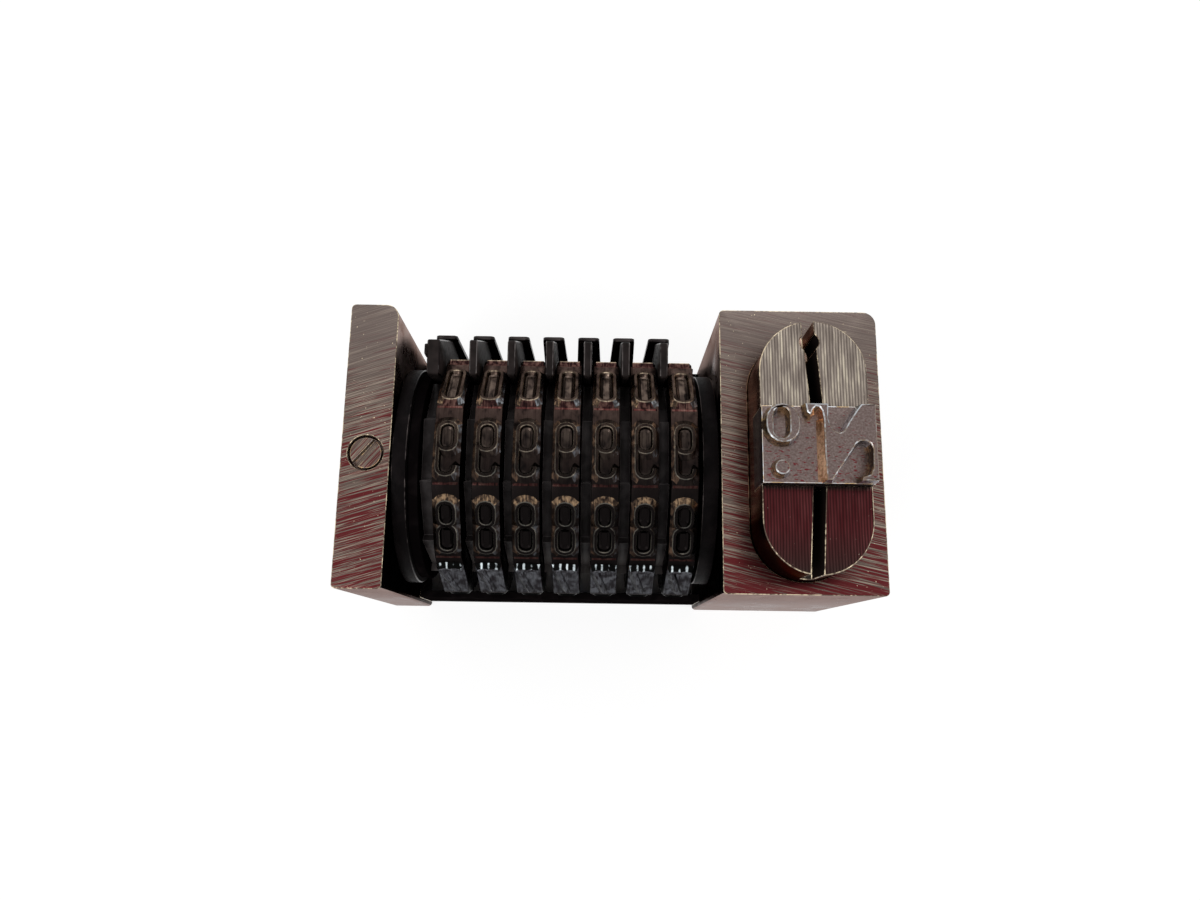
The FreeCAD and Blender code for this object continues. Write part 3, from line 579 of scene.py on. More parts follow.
def numeral_strokes():
    """Middle lines of the strokes of 0 to 9 as they read in print, drawn anticlockwise: (points, closed)."""
    w, h, r, half = numeral_half_width, numeral_half_height, numeral_corner, stroke_half
    top_bow = arc(w - r, h - r, r, 0, 90, 3) + arc(r - w, h - r, r, 90, 180, 3)
    low_bow = arc(r - w, r - h, r, 180, 270, 3) + arc(w - r, r - h, r, 270, 360, 3)
    low_hook = [(-w, r - h + hook_stop)] + low_bow
    top_hook = top_bow + [(-w, h - r - hook_stop)]
    crests = [(middle + side * bar_crest_half, h) for middle in (w / 2, -w / 2) for side in (1, -1)]
    bar = ([(w + half, h - bar_dip)] + crests[:2] + [(0, h - bar_dip)] + crests[2:]
           + [(-w - half, h - bar_dip)])
    nine = [(ring(w, bowl_low, h), True), (low_hook + [(w, bowl_low + r)], False)]
    six = [([(-x, -y) for x, y in points], closed) for points, closed in nine]
    three_low = low_hook + arc(w - r, waist - r, r, 0, 90, 3) + [(three_tip, waist)]
    three_top = [(three_tip, waist)] + arc(w - r, waist + r, r, -90, 0, 3) + top_hook
    five_low = (low_hook + arc(w - r, waist + five_low_rise - r, r, 0, 90, 3)
                + [(-w, waist + five_low_rise - bar_crest_half)])
    return [
        [(ring(w, -h, h), True)],
        [([(0, -h), (0, h + half)], False), ([(0.1, h), (-0.42, h - 0.62)], False),
         ([(-w - half, -h), (w + half, -h)], False)],
        [([(half - w, half - h), (w, 0.55)] + top_hook, False), ([(-w - half, -h), (w + half, -h)], False)],
        [(three_top, False), (three_low, False)],
        [([(-w, -0.8), (0.30, h + half)], False), ([(-w - half, -0.75), (w + half, -0.75)], False),
         ([(0.32, -h - half), (0.32, 0.5)], False)],
        [(bar, False), ([(-w, waist + 0.3), (-w, h)], False), (five_low, False)],
        six,
        [(bar, False), ([(-0.12, 0.35 - h), (w, h - bar_dip)], False)],
        [(ring(w - 0.04, waist, h), True), (ring(w, -h, waist), True)],
        nine,
    ]


def add_line(curve, points, closed=True):
    """Adds a line of straight stretches, in millimetres, to a flat curve."""
    line = curve.splines.new("POLY")
    line.points.add(len(points) - 1)
    for point, (across, up) in zip(line.points, points):
        point.co = (across * MM, up * MM, 0, 1)
    line.use_cyclic_u = closed
    return line


def add_swept(curve, into):
    """Adds the form that a curve sweeps to a shape."""
    holder = put_in(curve.name, curve)
    bpy.context.view_layer.update()
    mesh = bpy.data.meshes.new_from_object(holder.evaluated_get(bpy.context.evaluated_depsgraph_get()))
    into.from_mesh(mesh)
    bpy.data.objects.remove(holder)
    bpy.data.meshes.remove(mesh)


def merge_into(whole, part):
    """Adds one shape to another."""
    holder = bpy.data.meshes.new("part")
    part.to_mesh(holder)
    part.free()
    whole.from_mesh(holder)
    bpy.data.meshes.remove(holder)


def stroke_outline(points):
    """Cross-section of a stroke, as a flat outline."""
    outline = bpy.data.curves.new("stroke section", "CURVE")
    add_line(outline, points)
    return put_in("stroke section", outline)


def floor_line(points):
    """Middle line of the flat floor inside a closed loop."""
    low = min(up for _, up in points) + floor_end
    high = max(up for _, up in points) - floor_end
    return [(0, low), (0, high)]


def beyond(point, inner):
    """Where the slope at the free end of a stroke meets the flat of the wheel."""
    away = (Vector(point) - Vector(inner)).normalized()
    return tuple(Vector(point) + away * stroke_outer_slope)


def raise_stroke(points, closed, section, into):
    """Adds one mirrored stroke to a shape, lying on the plane z = 0; its free ends slope down."""
    curve = bpy.data.curves.new("stroke", "CURVE")
    curve.dimensions = "2D"
    curve.fill_mode = "NONE"
    curve.bevel_mode = "OBJECT"
    curve.bevel_object = section
    curve.use_fill_caps = True
    if not closed:
        points = [beyond(points[0], points[1])] + points + [beyond(points[-1], points[-2])]
    line = add_line(curve, [(-across, up - numeral_drop) for across, up in points], closed)
    if not closed:
        line.points[0].radius = line.points[-1].radius = stroke_end_share
    add_swept(curve, into)


def without_repeats(points):
    """Points of a line without those that lie on the one before."""
    kept = [points[0]]
    for point in points[1:]:
        if math.dist(point, kept[-1]) > repeat_gap:
            kept.append(point)
    return kept


(on_land, on_face, on_rim, on_floor, on_hollow, on_copper, on_steel, on_copper_side, on_steel_side,
 on_front_end, on_wheel_corner, on_rear_end, on_front_slope) = range(13)
shaded_version = {on_copper: on_copper_side, on_steel: on_steel_side, on_front_end: on_hollow}


def sort_numeral_faces(shape, rise, hollow):
    """Gives each face of a numeral its finish, by its height and by the way it slopes: left- and rear-facing
    slopes get painted warm light, right-facing ones painted cool light and front-facing ones painted shade.
    """
    for face in shape.faces:
        lowest = min(corner.co.z for corner in face.verts) / MM
        highest = max(corner.co.z for corner in face.verts) / MM
        across, along = face.normal.x, face.normal.y
        x = face.calc_center_median().x / MM
        up = face.calc_center_median().y / MM + numeral_drop
        outward = across * x + along * up > 0
        if hollow and abs(x) < numeral_half_width - stroke_half:
            outward = abs(up) > numeral_half_height - stroke_half
        at_corner = abs(across) > least_turn and abs(along) > least_turn and abs(up - waist) >= waist_half
        if lowest > rise - height_play:
            face.material_index = on_face
        elif lowest > rise - stroke_edge - height_play:
            face.material_index = on_rim
        elif highest < counter_height + height_play:
            face.material_index = on_floor
        elif not outward:
            face.material_index = on_hollow
        elif at_corner:
            face.material_index = on_copper if along > 0 or across < 0 else on_steel
        elif abs(across) > least_turn:
            face.material_index = on_copper_side if across < 0 else on_steel_side
        else:
            face.material_index = on_front_end if along < 0 else on_rear_end


def shade_turned_slopes(shape):
    """Painted highlights stay only on the slopes that lie level at rest, where they catch the light; the
    others get their painted-shade version, and the foremost ones the dark slope with painted highlight spots.
    """
    for face in shape.faces:
        is_level = face.normal.z > level_slope
        forward = face.calc_center_median().y
        if face.material_index not in (*shaded_version, on_rear_end):
            continue
        if forward < foremost_slope * MM:
            face.material_index = on_front_slope if face.normal.z > still_upward else on_hollow
        elif not is_level:
            face.material_index = shaded_version.get(face.material_index, on_hollow)
        elif face.material_index == on_rear_end:
            face.material_index = on_copper if forward < 0 else on_copper_side


def make_relief():
    """All ten numerals round a wheel that stands at x = 0 on the axis of the shaft."""
    rise = type_radius - flat_radius
    top, side = stroke_half - stroke_edge, stroke_half
    section = stroke_outline([(-side - stroke_outer_slope, -stroke_sink), (-side, rise - stroke_edge),
                              (-top, rise), (top, rise), (side, rise - stroke_edge),
                              (side + stroke_inner_slope, counter_height), (counter_reach, -stroke_sink)])
    floor_section = stroke_outline([(-floor_half, -stroke_sink), (stroke_sink - floor_half, floor_height),
                                    (floor_half - stroke_sink, floor_height), (floor_half, -stroke_sink)])
    whole = bmesh.new()
    for index in range(digit_count):
        digit = (first_digit - index) % digit_count
        one = bmesh.new()
        for points, closed in numeral_strokes()[digit]:
            points = without_repeats(points)
            if closed and math.dist(points[0], points[-1]) < repeat_gap:
                points = points[:-1]
            raise_stroke(points, closed, section, one)
            if closed:
                raise_stroke(floor_line(points), False, floor_section, one)
        bmesh.ops.remove_doubles(one, verts=one.verts, dist=stroke_merge)
        bmesh.ops.recalc_face_normals(one, faces=one.faces)
        sort_numeral_faces(one, rise, digit in hollow_digits)
        turn = first_edge_angle + digit_step * (index + 0.5)
        place = (Matrix.Translation(Vector((0, axis.y, axis.z))) @ Matrix.Rotation(turn, 4, "X")
                 @ Matrix.Translation(Vector((0, 0, flat_radius * MM))))
        bmesh.ops.transform(one, matrix=place, verts=one.verts)
        one.normal_update()
        shade_turned_slopes(one)
        merge_into(whole, one)
    bpy.data.objects.remove(section)
    bpy.data.objects.remove(floor_section)
    return whole


def split_at(shape, point, away, drop=False):
    """Splits a shape at a plane, and drops what lies beyond it if asked; returns the new edges."""
    cut = bmesh.ops.bisect_plane(shape, geom=shape.verts[:] + shape.edges[:] + shape.faces[:],
                                 plane_co=point, plane_no=away, clear_outer=drop)
    return [part for part in cut["geom_cut"] if isinstance(part, bmesh.types.BMEdge)]


def cut_away(shape, point, away):
    """Cuts off what lies beyond a plane and closes the cut."""
    bmesh.ops.holes_fill(shape, edges=split_at(shape, point, away, drop=True), sides=0)


def trim_sides(shape, half):
    """Cuts the feet of the numerals off level with the sides of the wheel."""
    for side in (-1, 1):
        cut_away(shape, (side * half, 0, 0), (side, 0, 0))


def add_wheel_body(shape, half):
    """Ten-sided disc with a round bore, its edges eased."""
    body = bmesh.new()
    bmesh.ops.create_circle(body, segments=digit_count, radius=wheel_corner_radius * MM)
    bmesh.ops.subdivide_edges(body, edges=body.edges[:], cuts=bore_segments // digit_count - 1)
    bmesh.ops.create_circle(body, segments=bore_segments, radius=wheel_bore * MM)
    bmesh.ops.bridge_loops(body, edges=body.edges[:])
    thick = bmesh.ops.extrude_face_region(body, geom=body.faces[:])["geom"]
    bmesh.ops.translate(body, vec=(0, 0, 2 * half),
                        verts=[part for part in thick if isinstance(part, bmesh.types.BMVert)])
    bmesh.ops.translate(body, vec=(0, 0, -half), verts=body.verts)
    bmesh.ops.recalc_face_normals(body, faces=body.faces)
    outer = [line for line in sharp_edges(body) if line.verts[0].co.xy.length > wheel_bore * 2 * MM]
    # The eased corners between facets carry a painted dark red shadow band.
    for face in ease(body, outer, wheel_edge * MM):
        if abs(face.normal.z) < rim_turn:
            face.material_index = on_wheel_corner
    stand = (Matrix.Translation(Vector((0, axis.y, axis.z))) @ Matrix.Rotation(first_edge_angle, 4, "X")
             @ Matrix.Rotation(math.radians(90), 4, "Y") @ Matrix.Rotation(math.radians(90), 4, "Z"))
    bmesh.ops.transform(body, matrix=stand, verts=body.verts)
    merge_into(shape, body)


def rubbed_bronze(name, middle, light, inked=wheel_ink_and_shade, spot=1.0, reach=1.0):
    """Brown plated metal in rubbed streaks with ink in them, painted shade darkening it towards the front and
    on its lowest front, and a painted blue-grey reflection on its foremost face.
    """
    finish, tree = new_finish(name, 1.0, 0.30, tint=wheel_tint)
    cloud = grain(tree, (0.5 * spot, 0.9 * spot, 0.9 * spot), 0, 5.0, 0.5)
    lines = grain(tree, (0.05, 2.0, 2.0), 0, 2.0)
    worn = calculate(tree, "MULTIPLY_ADD", lines, 0.3, calculate(tree, "MULTIPLY", cloud, 0.7))
    # painted shade: the colour goes towards the dark ink-and-shade colour towards the front of the wheel
    unshaded_share = calculate(tree, "POWER", height_along(tree, "Y", shade_full, shade_start), 2.0)
    unshaded_share = calculate(tree, "MULTIPLY_ADD", unshaded_share, reach, 1.0 - reach)
    colour = shade(tree, worn, ((0.34, inked), (0.47, middle), (0.62, light)))
    colour = between(tree, unshaded_share, inked, colour)
    # painted reflection: the foremost face takes a blue-grey tone in place of the reflected surroundings
    painted_reflection = shade(tree, worn, ((0.42, reflection_dark), (0.60, reflection_light)))
    forward = calculate(tree, "MULTIPLY", height_along(tree, "Y", reflection_start, reflection_full),
                        height_along(tree, "Z", reflection_low, reflection_high))
    colour = between(tree, forward, colour, painted_reflection)
    # painted shade on the lowest front of the wheel
    low_shade_share = calculate(tree, "MULTIPLY", height_along(tree, "Y", *low_shade_reach),
                      height_along(tree, "Z", reflection_low, reflection_low - 0.2))
    colour = between(tree, low_shade_share, colour, painted_front_shade)
    coat(tree, colour, lines, 0.006, level(tree, cloud, 0.3, 0.7, 0.40, 0.22))
    return finish


def tool_lines(tree, pitch):
    """Even lines from front to rear, as a fly cutter leaves them."""
    place = add_node(tree, "ShaderNodeTexCoord", {})
    parts = add_node(tree, "ShaderNodeSeparateXYZ", {0: place.outputs["Object"]})
    waver = grain(tree, (1.5, 6.0, 6.0), 0, 2.0)
    turns = calculate(tree, "MULTIPLY_ADD", parts.outputs["X"], 2 * math.pi / (pitch * MM),
                      calculate(tree, "MULTIPLY", waver, 5.0))
    return level(tree, calculate(tree, "SINE", turns), -1.0, 1.0)


def highlight_ticked(name):
    """Slope darkened with painted shade, with painted blue-white highlights shaped as the ends of a few
    cutter marks, on the foremost numerals.
    """
    finish, tree = new_finish(name, 1.0, 0.34, tint=wheel_tint)
    patches = grain(tree, (0.5, 0.5, 0.5), 0, 3.0)
    marks = level(tree, calculate(tree, "MULTIPLY", tool_lines(tree, tick_pitch), patches), 0.40, 0.56)
    coat(tree, between(tree, marks, painted_front_shade, highlight_blue), patches, 0.006,
         level(tree, patches, 0.3, 0.7, 0.28, 0.42))
    return finish


# The corner, side and end finishes are painted light: warm where a slope faces left or rear, cool where it
# faces right, dark red shade where it faces the front.
wheel_finishes = [rubbed_bronze(name, *look) for name, *look in (
    ("wheel land", land_mid, land_light),
    ("numeral face", face_mid, face_light),
    ("numeral rim", rim_mid, rim_light, rim_ink, 0.6, 0.9),
    ("numeral hollow floor", counter_mid, counter_light),
    ("numeral hollow wall", face_mid, hollow_light),
    ("numeral corner copper", copper_mid, warm_highlight, wheel_ink_and_shade, 0.5, 0.15),
    ("numeral corner steel", steel_mid, cool_highlight, wheel_ink_and_shade, 0.5, 0.15),
    ("numeral side copper", face_mid, warm_side_light, wheel_ink_and_shade, 0.6, 0.75),
    ("numeral side steel", face_mid, cool_side_light, wheel_ink_and_shade, 0.6, 0.75),
    ("numeral end", shade_band_dark, shade_band_light, wheel_ink_and_shade, 0.6, 0.4),
    ("wheel corner", corner_shade_red, shade_band_light, painted_front_shade, 0.6, 0.8),
    ("numeral rear end", face_mid, warm_side_light, wheel_ink_and_shade, 0.6, 0.4),
)] + [highlight_ticked("numeral front slope highlights")]

wheel_low, wheel_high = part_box("numeral_wheel_1")
wheel_half = (wheel_high.x - wheel_low.x) / 2
pattern = make_relief()
trim_sides(pattern, wheel_half - wheel_side_trim * MM)
add_wheel_body(pattern, wheel_half)
for number in range(1, wheel_count + 1):
    low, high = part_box(f"numeral_wheel_{number}")
    shape = pattern.copy()
    bmesh.ops.translate(shape, vec=((low.x + high.x) / 2, 0, 0), verts=shape.verts)
    make_piece(f"numeral_wheel_{number}_cut", shape, wheel_finishes, f"wheel_{number}",
               f"numeral_wheel_{number}")
pattern.free()


# Ratchets
# A hardened, blackened saw-toothed disc fixed to the left side of each wheel, oiled and rubbed grey-brown
# along its eased edges, with a painted grey-brown reflection on the backs of the teeth at its front.
ratchet_edge = 0.05 * MM
ratchet_dark = (0.026, 0.022, 0.022, 1)
ratchet_worn = (0.085, 0.074, 0.074, 1)
ratchet_rub_and_sheen = (0.125, 0.11, 0.105, 1)
ratchet_reflection_reach = (-7.4, -7.9)



def two_tone_piece(node, ending, width, finishes, body):
    """Copy of a blackened CAD node in its place, with a second finish on its eased edges."""
    shape, edge_faces = eased_copy(node, width)
    for face in edge_faces:
        face.material_index = 1
    make_piece(f"{node}_{ending}", shape, finishes, body, node)


ratchet_finishes = [blackened_steel("ratchet steel", ratchet_dark, ratchet_worn, 0.32),
                    blackened_steel("ratchet edge", ratchet_worn, ratchet_rub_and_sheen, 0.30)]
ratchet_tree = ratchet_finishes[0].node_tree
ratchet_colour = ratchet_tree.nodes["Principled BSDF"].inputs["Base Color"]
# painted reflection: the ratchet's foremost teeth turn grey-brown
front_reflection = between(ratchet_tree, height_along(ratchet_tree, "Y", *ratchet_reflection_reach),
                 ratchet_colour.links[0].from_socket, ratchet_rub_and_sheen)
ratchet_tree.links.new(front_reflection, ratchet_colour)
for number in range(1, wheel_count + 1):
    two_tone_piece(f"ratchet_{number}", "cut", ratchet_edge, ratchet_finishes, f"wheel_{number}")


# Swing
# Two round black cheeks that rock on the shaft, joined below by the pawl rod and the tie rod; the right
# one carries the drive pin that the plunger lifts. Their rims are rubbed to a thin grey line.
cheek_edge = 0.09 * MM
cheek_rim = (0.075, 0.062, 0.060, 1)
cheek_rim_dark = (0.006, 0.005, 0.005, 1)

cheek_finishes = [blackened_steel("cheek black", black_oil, black_worn, 0.5, 0.03),
                  burred_edge("cheek rim", cheek_rim, cheek_rim_dark, 0.8)]
for side in ("left", "right"):
    two_tone_piece(f"swing_{side}_cheek", "turned", cheek_edge, cheek_finishes, "swing")
for rod in ("swing_drive_pin", "swing_tie_rod", "pawl_rod"):
    dress(rod, shaft_finish)


# Advancing pawl and its spring
# One piece of hardened steel with three knuckles on the pawl rod and seven stepped teeth, pressed against
# the ratchets by a fine torsion spring of blue wire.
spring_blue = (0.10, 0.11, 0.15, 1)
spring_bright = (0.30, 0.30, 0.32, 1)
pawl_light = (0.20, 0.18, 0.17, 1)
pawl_dark = (0.07, 0.06, 0.058, 1)

spring_finish = smooth_steel("spring wire", spring_bright, spring_blue, 0.28)
dress("advancing_pawl", smooth_steel("pawl steel", pawl_light, pawl_dark, 0.32))
dress("pawl_spring", spring_finish)


# Detents
# Seven thin blades behind the wheels, on one rod with spacer tubes between them; each drops its nose
# behind a ratchet tooth. They are blackened, and rubbed to grey along their front edges.
detent_edge = 0.10 * MM
detent_rub = (0.10, 0.088, 0.085, 1)
detent_rub_dark = (0.015, 0.012, 0.012, 1)
detent_brown = (0.014, 0.011, 0.0105, 1)
detent_brown_worn = (0.034, 0.026, 0.025, 1)

detent_finishes = [blackened_steel("detent black", detent_brown, detent_brown_worn, 0.45, 0.04),
                   burred_edge("detent edge", detent_rub, detent_rub_dark, 0.6)]
for number in range(1, wheel_count + 1):
    two_tone_piece(f"detent_{number}", "filed", detent_edge, detent_finishes, f"detent_{number}")
dress("detent_rod", shaft_finish)
dress("detent_spacers", washer_finish)


# Spring comb
# A flat piece of blue spring steel outside the rear wall, one finger behind each detent, held by three
# flat-headed screws. The foot stays still. In the machine each finger bends back with the heel of its detent;
# here each finger is a piece of its own, cut into short stretches along its height.
comb_dark = (0.012, 0.010, 0.011, 1)
comb_worn = (0.045, 0.038, 0.037, 1)
finger_root = 6.35 * MM
finger_bends = 8

comb_finish = smooth_steel("comb spring steel", comb_worn, comb_dark, 0.34)
comb_low, comb_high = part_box("detent_spring_comb")
root_height = comb_low.z + finger_root
finger_step = (comb_high.z - root_height) / finger_bends
finger_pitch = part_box("detent_3")[0].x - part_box("detent_2")[0].x


def cut_from_comb(planes):
    """What is left of the comb inside some planes; each is a point on it and the way that is cut off."""
    part = merged_copy("detent_spring_comb")
    for point, away in planes:
        cut_away(part, point, away)
    return part


shape = cut_from_comb([((0, 0, root_height), (0, 0, 1))])
make_piece("spring_comb_foot", shape, [comb_finish], "root", "detent_spring_comb")
for number in range(1, wheel_count + 1):
    low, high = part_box(f"detent_{number}")
    middle = (low.x + high.x) / 2
    shape = cut_from_comb([((0, 0, root_height), (0, 0, -1)), ((middle - finger_pitch / 2, 0, 0), (-1, 0, 0)),
                           ((middle + finger_pitch / 2, 0, 0), (1, 0, 0))])
    for step in range(1, finger_bends):
        split_at(shape, (0, 0, root_height + step * finger_step), (0, 0, 1))
    finger = make_piece(f"spring_comb_finger_{number}", shape, [comb_finish], None,
                        "detent_spring_comb")
    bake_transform(finger)
dress("comb_screws", screw_finish)


# Plunger and its springs
# A milled steel block with round ends that rises through the right block on two coil springs; its top
# shows fine tool lines from front to rear, a saw slit with a keyhole, and a painted dark red reflection over
# the front half.
plunger_edge = 0.07 * MM
tool_line_pitch = 0.21
plunger_silver = (0.32, 0.27, 0.23, 1)
plunger_silver_light = (0.56, 0.49, 0.39, 1)
plunger_silver_dull = (0.20, 0.165, 0.14, 1)
plunger_silver_dark = (0.085, 0.068, 0.060, 1)
plunger_red_reflection = (0.066, 0.012, 0.014, 1)
plunger_red_reflection_light = (0.105, 0.026, 0.028, 1)
plunger_red_reflection_dark = (0.016, 0.007, 0.007, 1)
plunger_front_shade = (0.030, 0.020, 0.018, 1)
plunger_side_highlight = (0.42, 0.275, 0.22, 1)
plunger_side_dark = (0.14, 0.092, 0.078, 1)
plunger_side_shade = (0.024, 0.018, 0.016, 1)
plunger_side_tint = (0.45, 0.39, 0.37, 1)
slit_black = (0.012, 0.008, 0.007, 1)
slit_half = 0.9 * MM
slit_clean = 1.1
slit_front = 0.3 * MM
steep = 0.5
sign_low, sign_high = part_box("sign_block")


def milled_top():
    """Top of the plunger: silver behind the sign, a painted dark red reflection in front of it, and painted
    shade darkening it further towards the front.
    """
    finish, tree = new_finish("milled plunger top", 1.0, 0.32)
    lines = tool_lines(tree, tool_line_pitch)
    cloud = grain(tree, (0.35, 2.2, 1.0), 0, 6.0, 0.2)
    specks = grain(tree, (0.14, 0.3, 0.2), 0, 2.0)
    silver = shade(tree, cloud, ((0.34, plunger_silver_dull), (0.5, plunger_silver),
                                 (0.66, plunger_silver_light)))
    silver = between(tree, level(tree, lines, 0.15, 0.75, 0.75, 0.0), silver, plunger_silver_dark)
    # painted reflection in dark red, with painted shade towards the front
    red_reflection = shade(tree, cloud, ((0.35, plunger_red_reflection), (0.72, plunger_red_reflection_light)))
    forward = height_along(tree, "Y", sign_low.y / MM - 3.0, plunger_low.y / MM)
    red_reflection = between(tree, forward, red_reflection, plunger_front_shade)
    red_reflection = between(tree, level(tree, lines, 0.2, 0.9, 0.7, 0.0), red_reflection, plunger_red_reflection_dark)
    front = height_along(tree, "Y", sign_low.y / MM + 1.0, sign_low.y / MM - 0.4)
    colour = between(tree, front, silver, red_reflection)
    colour = between(tree, level(tree, specks, 0.76, 0.80), colour, plunger_silver_light)
    coat(tree, colour, lines, 0.016)
    return finish


def shaded_plunger_side():
    """Side of the plunger: painted copper-brown highlight at the rear and painted shade, near black, round
    its front end.
    """
    finish, tree = new_finish("plunger side", 1.0, 0.26, tint=plunger_side_tint)
    cloud = grain(tree, (1.6, 1.6, 4.0), 0, 4.0, 0.4)
    colour = shade(tree, cloud, ((0.34, plunger_side_dark), (0.64, plunger_side_highlight)))
    # painted shade towards the front end of the side
    painted_shade = height_along(tree, "Y", sign_low.y / MM - 1.0, plunger_low.y / MM + 4.0)
    coat(tree, between(tree, painted_shade, colour, plunger_side_shade), cloud, 0.01)
    return finish


plunger_low, plunger_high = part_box("plunger")
plunger_middle = (plunger_low + plunger_high) / 2
on_top, on_top_burr, in_slit = 1, 2, 3
plunger_finishes = [shaded_plunger_side(), milled_top(), burred_edge("plunger burr", burr_bright, burr_dull, 0.3),
                    blackened_steel("plunger slit", slit_black, black_worn, 0.4, 0.0)]
shape, edge_faces = eased_copy("plunger", plunger_edge)
for face in shape.faces:
    middle = face.calc_center_median()
    if face in edge_faces:
        face.material_index = on_top_burr
    elif face.normal.z > case_top_normal and middle.z > plunger_high.z - top_skin:
        face.material_index = on_top
    elif (abs(middle.x - plunger_middle.x) < slit_half and abs(face.normal.z) < steep
          and plunger_low.y + slit_front < middle.y < plunger_high.y - slit_clean * MM):
        face.material_index = in_slit
make_piece("plunger_milled", shape, plunger_finishes, "plunger", "plunger")
for end in ("front", "rear"):
    low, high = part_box(f"plunger_spring_{end}")
    spring = make_piece(f"plunger_spring_{end}_wound", merged_copy(f"plunger_spring_{end}"), [spring_finish],
                        "root", f"plunger_spring_{end}")
    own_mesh(spring)


# Sign block
# A worn steel block let into a cross groove of the plunger, with a numero sign in relief on its top,
# mirrored because it prints: a ring over a round dot on the left, a capital on the right.
sign_edge = 0.05 * MM
sign_room = 0.02 * MM
sign_rise = sign_high.z
relief_foot = 0.02 * MM
ramp_drop = 0.04
sign_dark = (0.125, 0.090, 0.083, 1)
sign_mauve = (0.152, 0.114, 0.105, 1)
sign_light = (0.200, 0.158, 0.147, 1)
sign_ink = (0.13, 0.022, 0.026, 1)
sign_gold = (0.62, 0.44, 0.22, 1)
sign_brown = (0.075, 0.050, 0.034, 1)
sign_copper_highlight = (1.0, 0.66, 0.42, 1)
sign_copper_dull = (0.52, 0.28, 0.15, 1)
sign_blue = (0.78, 0.82, 0.88, 1)
sign_blue_dull = (0.26, 0.28, 0.31, 1)
sign_side_shade = (0.010, 0.008, 0.008, 1)
relief_height = 0.85 * MM
relief_slope = 0.20
relief_rim = 0.07
face_skin = 0.01 * MM
slight = 0.2
rim_bright = (0.44, 0.46, 0.48, 1)
rim_dull = (0.20, 0.15, 0.115, 1)
ring_outer_middle = (1.38, 1.45)
ring_outer = (1.15, 1.38)
ring_inner_middle = (1.28, 1.43)
ring_inner = (0.60, 1.16)
dot_middle = (1.26, 4.60)
dot_radius = 0.50
capital_outline = ((3.00, 0.05), (3.10, 0.65), (3.30, 0.80), (3.45, 0.45), (3.70, 0.20), (3.95, 0.25),
                   (4.15, 0.55), (4.25, 1.10), (4.25, 3.35), (4.30, 5.45), (4.65, 5.45), (5.55, 4.15),
                   (6.15, 3.25), (6.40, 2.85), (6.70, 2.65), (7.10, 2.65), (7.45, 2.85), (7.60, 3.25),
                   (7.55, 4.60), (7.35, 5.05), (6.80, 5.25), (6.75, 5.45), (8.00, 5.45), (7.90, 0.05),
                   (6.90, 0.05), (6.55, 0.50), (6.05, 1.25), (5.60, 2.00), (5.30, 2.15), (4.90, 2.00),
                   (4.60, 1.45), (4.50, 1.10), (4.55, 0.05))
ramp_outline = ((3.84, 4.29), (1.05, 5.47))
stem_left = (3.9, 4.7)
flag_outline = ((3.25, 3.55), (0.15, 0.85))
(on_sign_floor, on_sign_face, on_rear_slope, on_left_slope, on_right_slope, on_stem, on_sign_side,
 on_sign_edge, on_sign_rim) = range(9)


def stadium_line(middle, halves, steps=8):
    """Upright oval with straight sides and half-round ends."""
    x, y = middle
    half_width, half_height = halves
    reach = half_height - half_width
    return arc(x, y + reach, half_width, 0, 180, steps) + arc(x, y - reach, half_width, 180, 360, steps)


def add_relief(shape, outlines):
    """Adds a raised flat figure with sloping sides; outlines are measured from the rear left corner."""
    curve = bpy.data.curves.new("figure", "CURVE")
    curve.dimensions = "2D"
    curve.fill_mode = "BOTH"
    curve.bevel_depth = relief_slope * MM
    curve.bevel_resolution = 0
    for outline in outlines:
        add_line(curve, [(sign_low.x / MM + across, sign_high.y / MM - forward)
                         for across, forward in without_repeats(outline)])
    figure = bmesh.new()
    add_swept(curve, figure)
    bmesh.ops.remove_doubles(figure, verts=figure.verts, dist=stroke_merge)
    bmesh.ops.recalc_face_normals(figure, faces=figure.faces)
    stretch = (relief_height + relief_foot) / (relief_slope * MM)
    bmesh.ops.scale(figure, vec=(1, 1, stretch), verts=figure.verts)
    highest = max(corner.co.z for corner in figure.verts)
    bmesh.ops.translate(figure, vec=(0, 0, sign_rise - highest), verts=figure.verts)
    for corner, side in ((sign_low, -1), (sign_high, 1)):
        cut_away(figure, (corner.x - side * sign_room, 0, 0), (side, 0, 0))
        cut_away(figure, (0, corner.y - side * sign_room, 0), (0, side, 0))
    figure.normal_update()
    rims = ease(figure, [line for line in sharp_edges(figure)
                         if min(corner.co.z for corner in line.verts) > sign_rise - face_skin],
                relief_rim * MM, rings=1)
    for face in figure.faces:
        across, along = face.normal.x, face.normal.y
        from_left = face.calc_center_median().x - sign_low.x
        before_stem = from_left < stem_left[0] * MM
        if face in rims:
            face.material_index = on_sign_rim
        elif face.normal.z > case_top_normal:
            face.material_index = on_sign_face
        elif across < -steep and not before_stem and from_left < stem_left[1] * MM:
            face.material_index = on_stem
        elif across < -steep:
            face.material_index = on_left_slope if abs(along) < steep or before_stem else on_right_slope
        elif across > steep:
            face.material_index = on_right_slope
        elif along < 0:
            face.material_index = on_left_slope if before_stem and across < slight else on_right_slope
        else:
            face.material_index = on_rear_slope
    merge_into(shape, figure)


def box_between(low, high):
    """Box between two corners."""
    box = bmesh.new()
    bmesh.ops.create_cube(box, size=1)
    bmesh.ops.scale(box, vec=high - low, verts=box.verts)
    bmesh.ops.translate(box, vec=(low + high) / 2, verts=box.verts)
    return box


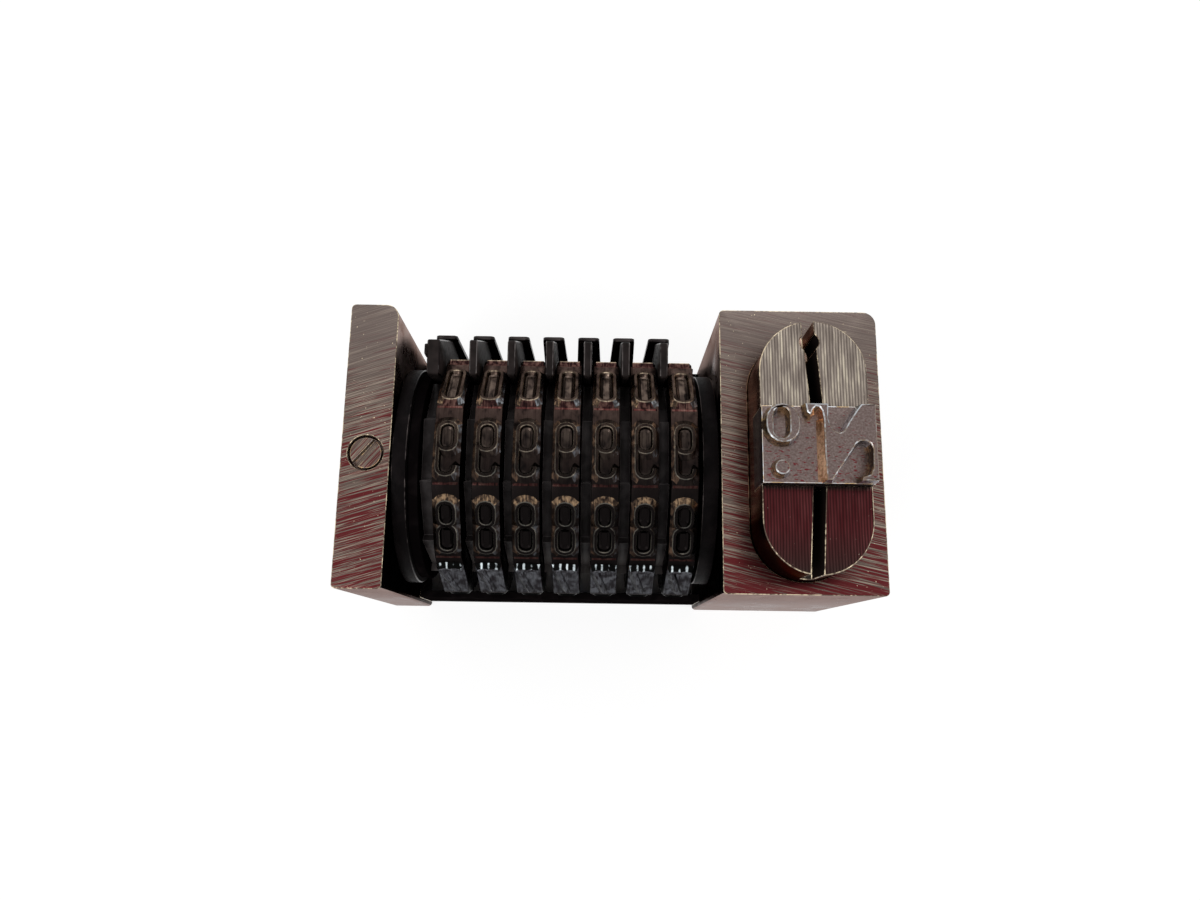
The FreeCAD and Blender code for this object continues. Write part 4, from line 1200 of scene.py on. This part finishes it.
def add_ramp(shape, across, forward):
    """Long slope on the left of a stem, from the floor of the sign up to its face."""
    low = Vector((sign_low.x + across[0] * MM, sign_high.y - forward[1] * MM,
                  sign_rise - relief_height - relief_foot))
    high = Vector((sign_low.x + across[1] * MM, sign_high.y - forward[0] * MM, sign_rise - ramp_drop * MM))
    ramp = box_between(low, high)
    cut_away(ramp, low, Vector((low.z - high.z, 0, high.x - low.x)))
    bmesh.ops.recalc_face_normals(ramp, faces=ramp.faces)
    for face in ramp.faces:
        # the ramp carries the painted copper highlight
        face.material_index = on_stem
    merge_into(shape, ramp)


def worn_sign_steel(name):
    """Mauve-grey steel with short red flecks of ink and fine pits."""
    finish, tree = new_finish(name, 1.0, 0.36)
    cloud = grain(tree, (0.16, 0.13, 0.2), 0, 6.0, 0.2)
    flecks = grain(tree, (0.42, 0.12, 0.2), -6, 3.0)
    front = height_along(tree, "Y", sign_high.y / MM, sign_low.y / MM)
    colour = shade(tree, cloud, ((0.36, sign_dark), (0.50, sign_mauve), (0.66, sign_light)))
    reach = calculate(tree, "MULTIPLY_ADD", front, -0.08, 0.665)
    inked = level(tree, flecks, reach, calculate(tree, "ADD", reach, 0.03))
    coat(tree, between(tree, inked, colour, sign_ink), cloud, 0.02)
    return finish


sign_finishes = [worn_sign_steel("sign floor"), worn_sign_steel("sign face")]
# The slope finishes are painted light: warm gold on rear- and left-facing slopes, cool blue on right-facing
# ones, and a painted copper highlight on the ramps beside the stems.
sign_finishes += [burred_edge(name, *look) for name, *look in (
    ("sign slope rear", sign_gold, sign_brown, 0.25),
    ("sign slope left", sign_gold, sign_brown, 0.25),
    ("sign slope right", sign_blue, sign_blue_dull, 0.25),
    ("sign ramp", sign_copper_highlight, sign_copper_dull, 0.2),
    ("sign edge", sign_blue, sign_gold, 0.5),
    ("sign rim", rim_bright, rim_dull, 0.3),
)]
# painted shade: the sides of the sign block are near black, in place of the shade in the gap round it
sign_finishes.insert(on_sign_side, blackened_steel("sign side shade", sign_side_shade, black_worn, 0.3))
shape = box_between(Vector((sign_low.x + sign_room, sign_low.y, sign_low.z)),
                    Vector((sign_high.x - sign_room, sign_high.y, sign_high.z - relief_height)))
edge_faces = ease(shape, shape.edges[:], sign_edge)
for face in shape.faces:
    if face in edge_faces:
        face.material_index = on_sign_edge
    elif face.normal.z < case_top_normal:
        face.material_index = on_sign_side
add_relief(shape, [stadium_line(ring_outer_middle, ring_outer), stadium_line(ring_inner_middle, ring_inner)])
add_relief(shape, [arc(*dot_middle, dot_radius, 0, 345, 23)])
add_relief(shape, [capital_outline])
add_ramp(shape, *ramp_outline)
add_ramp(shape, *flag_outline)
make_piece("sign_block_cut", shape, sign_finishes, "plunger", "sign_block")
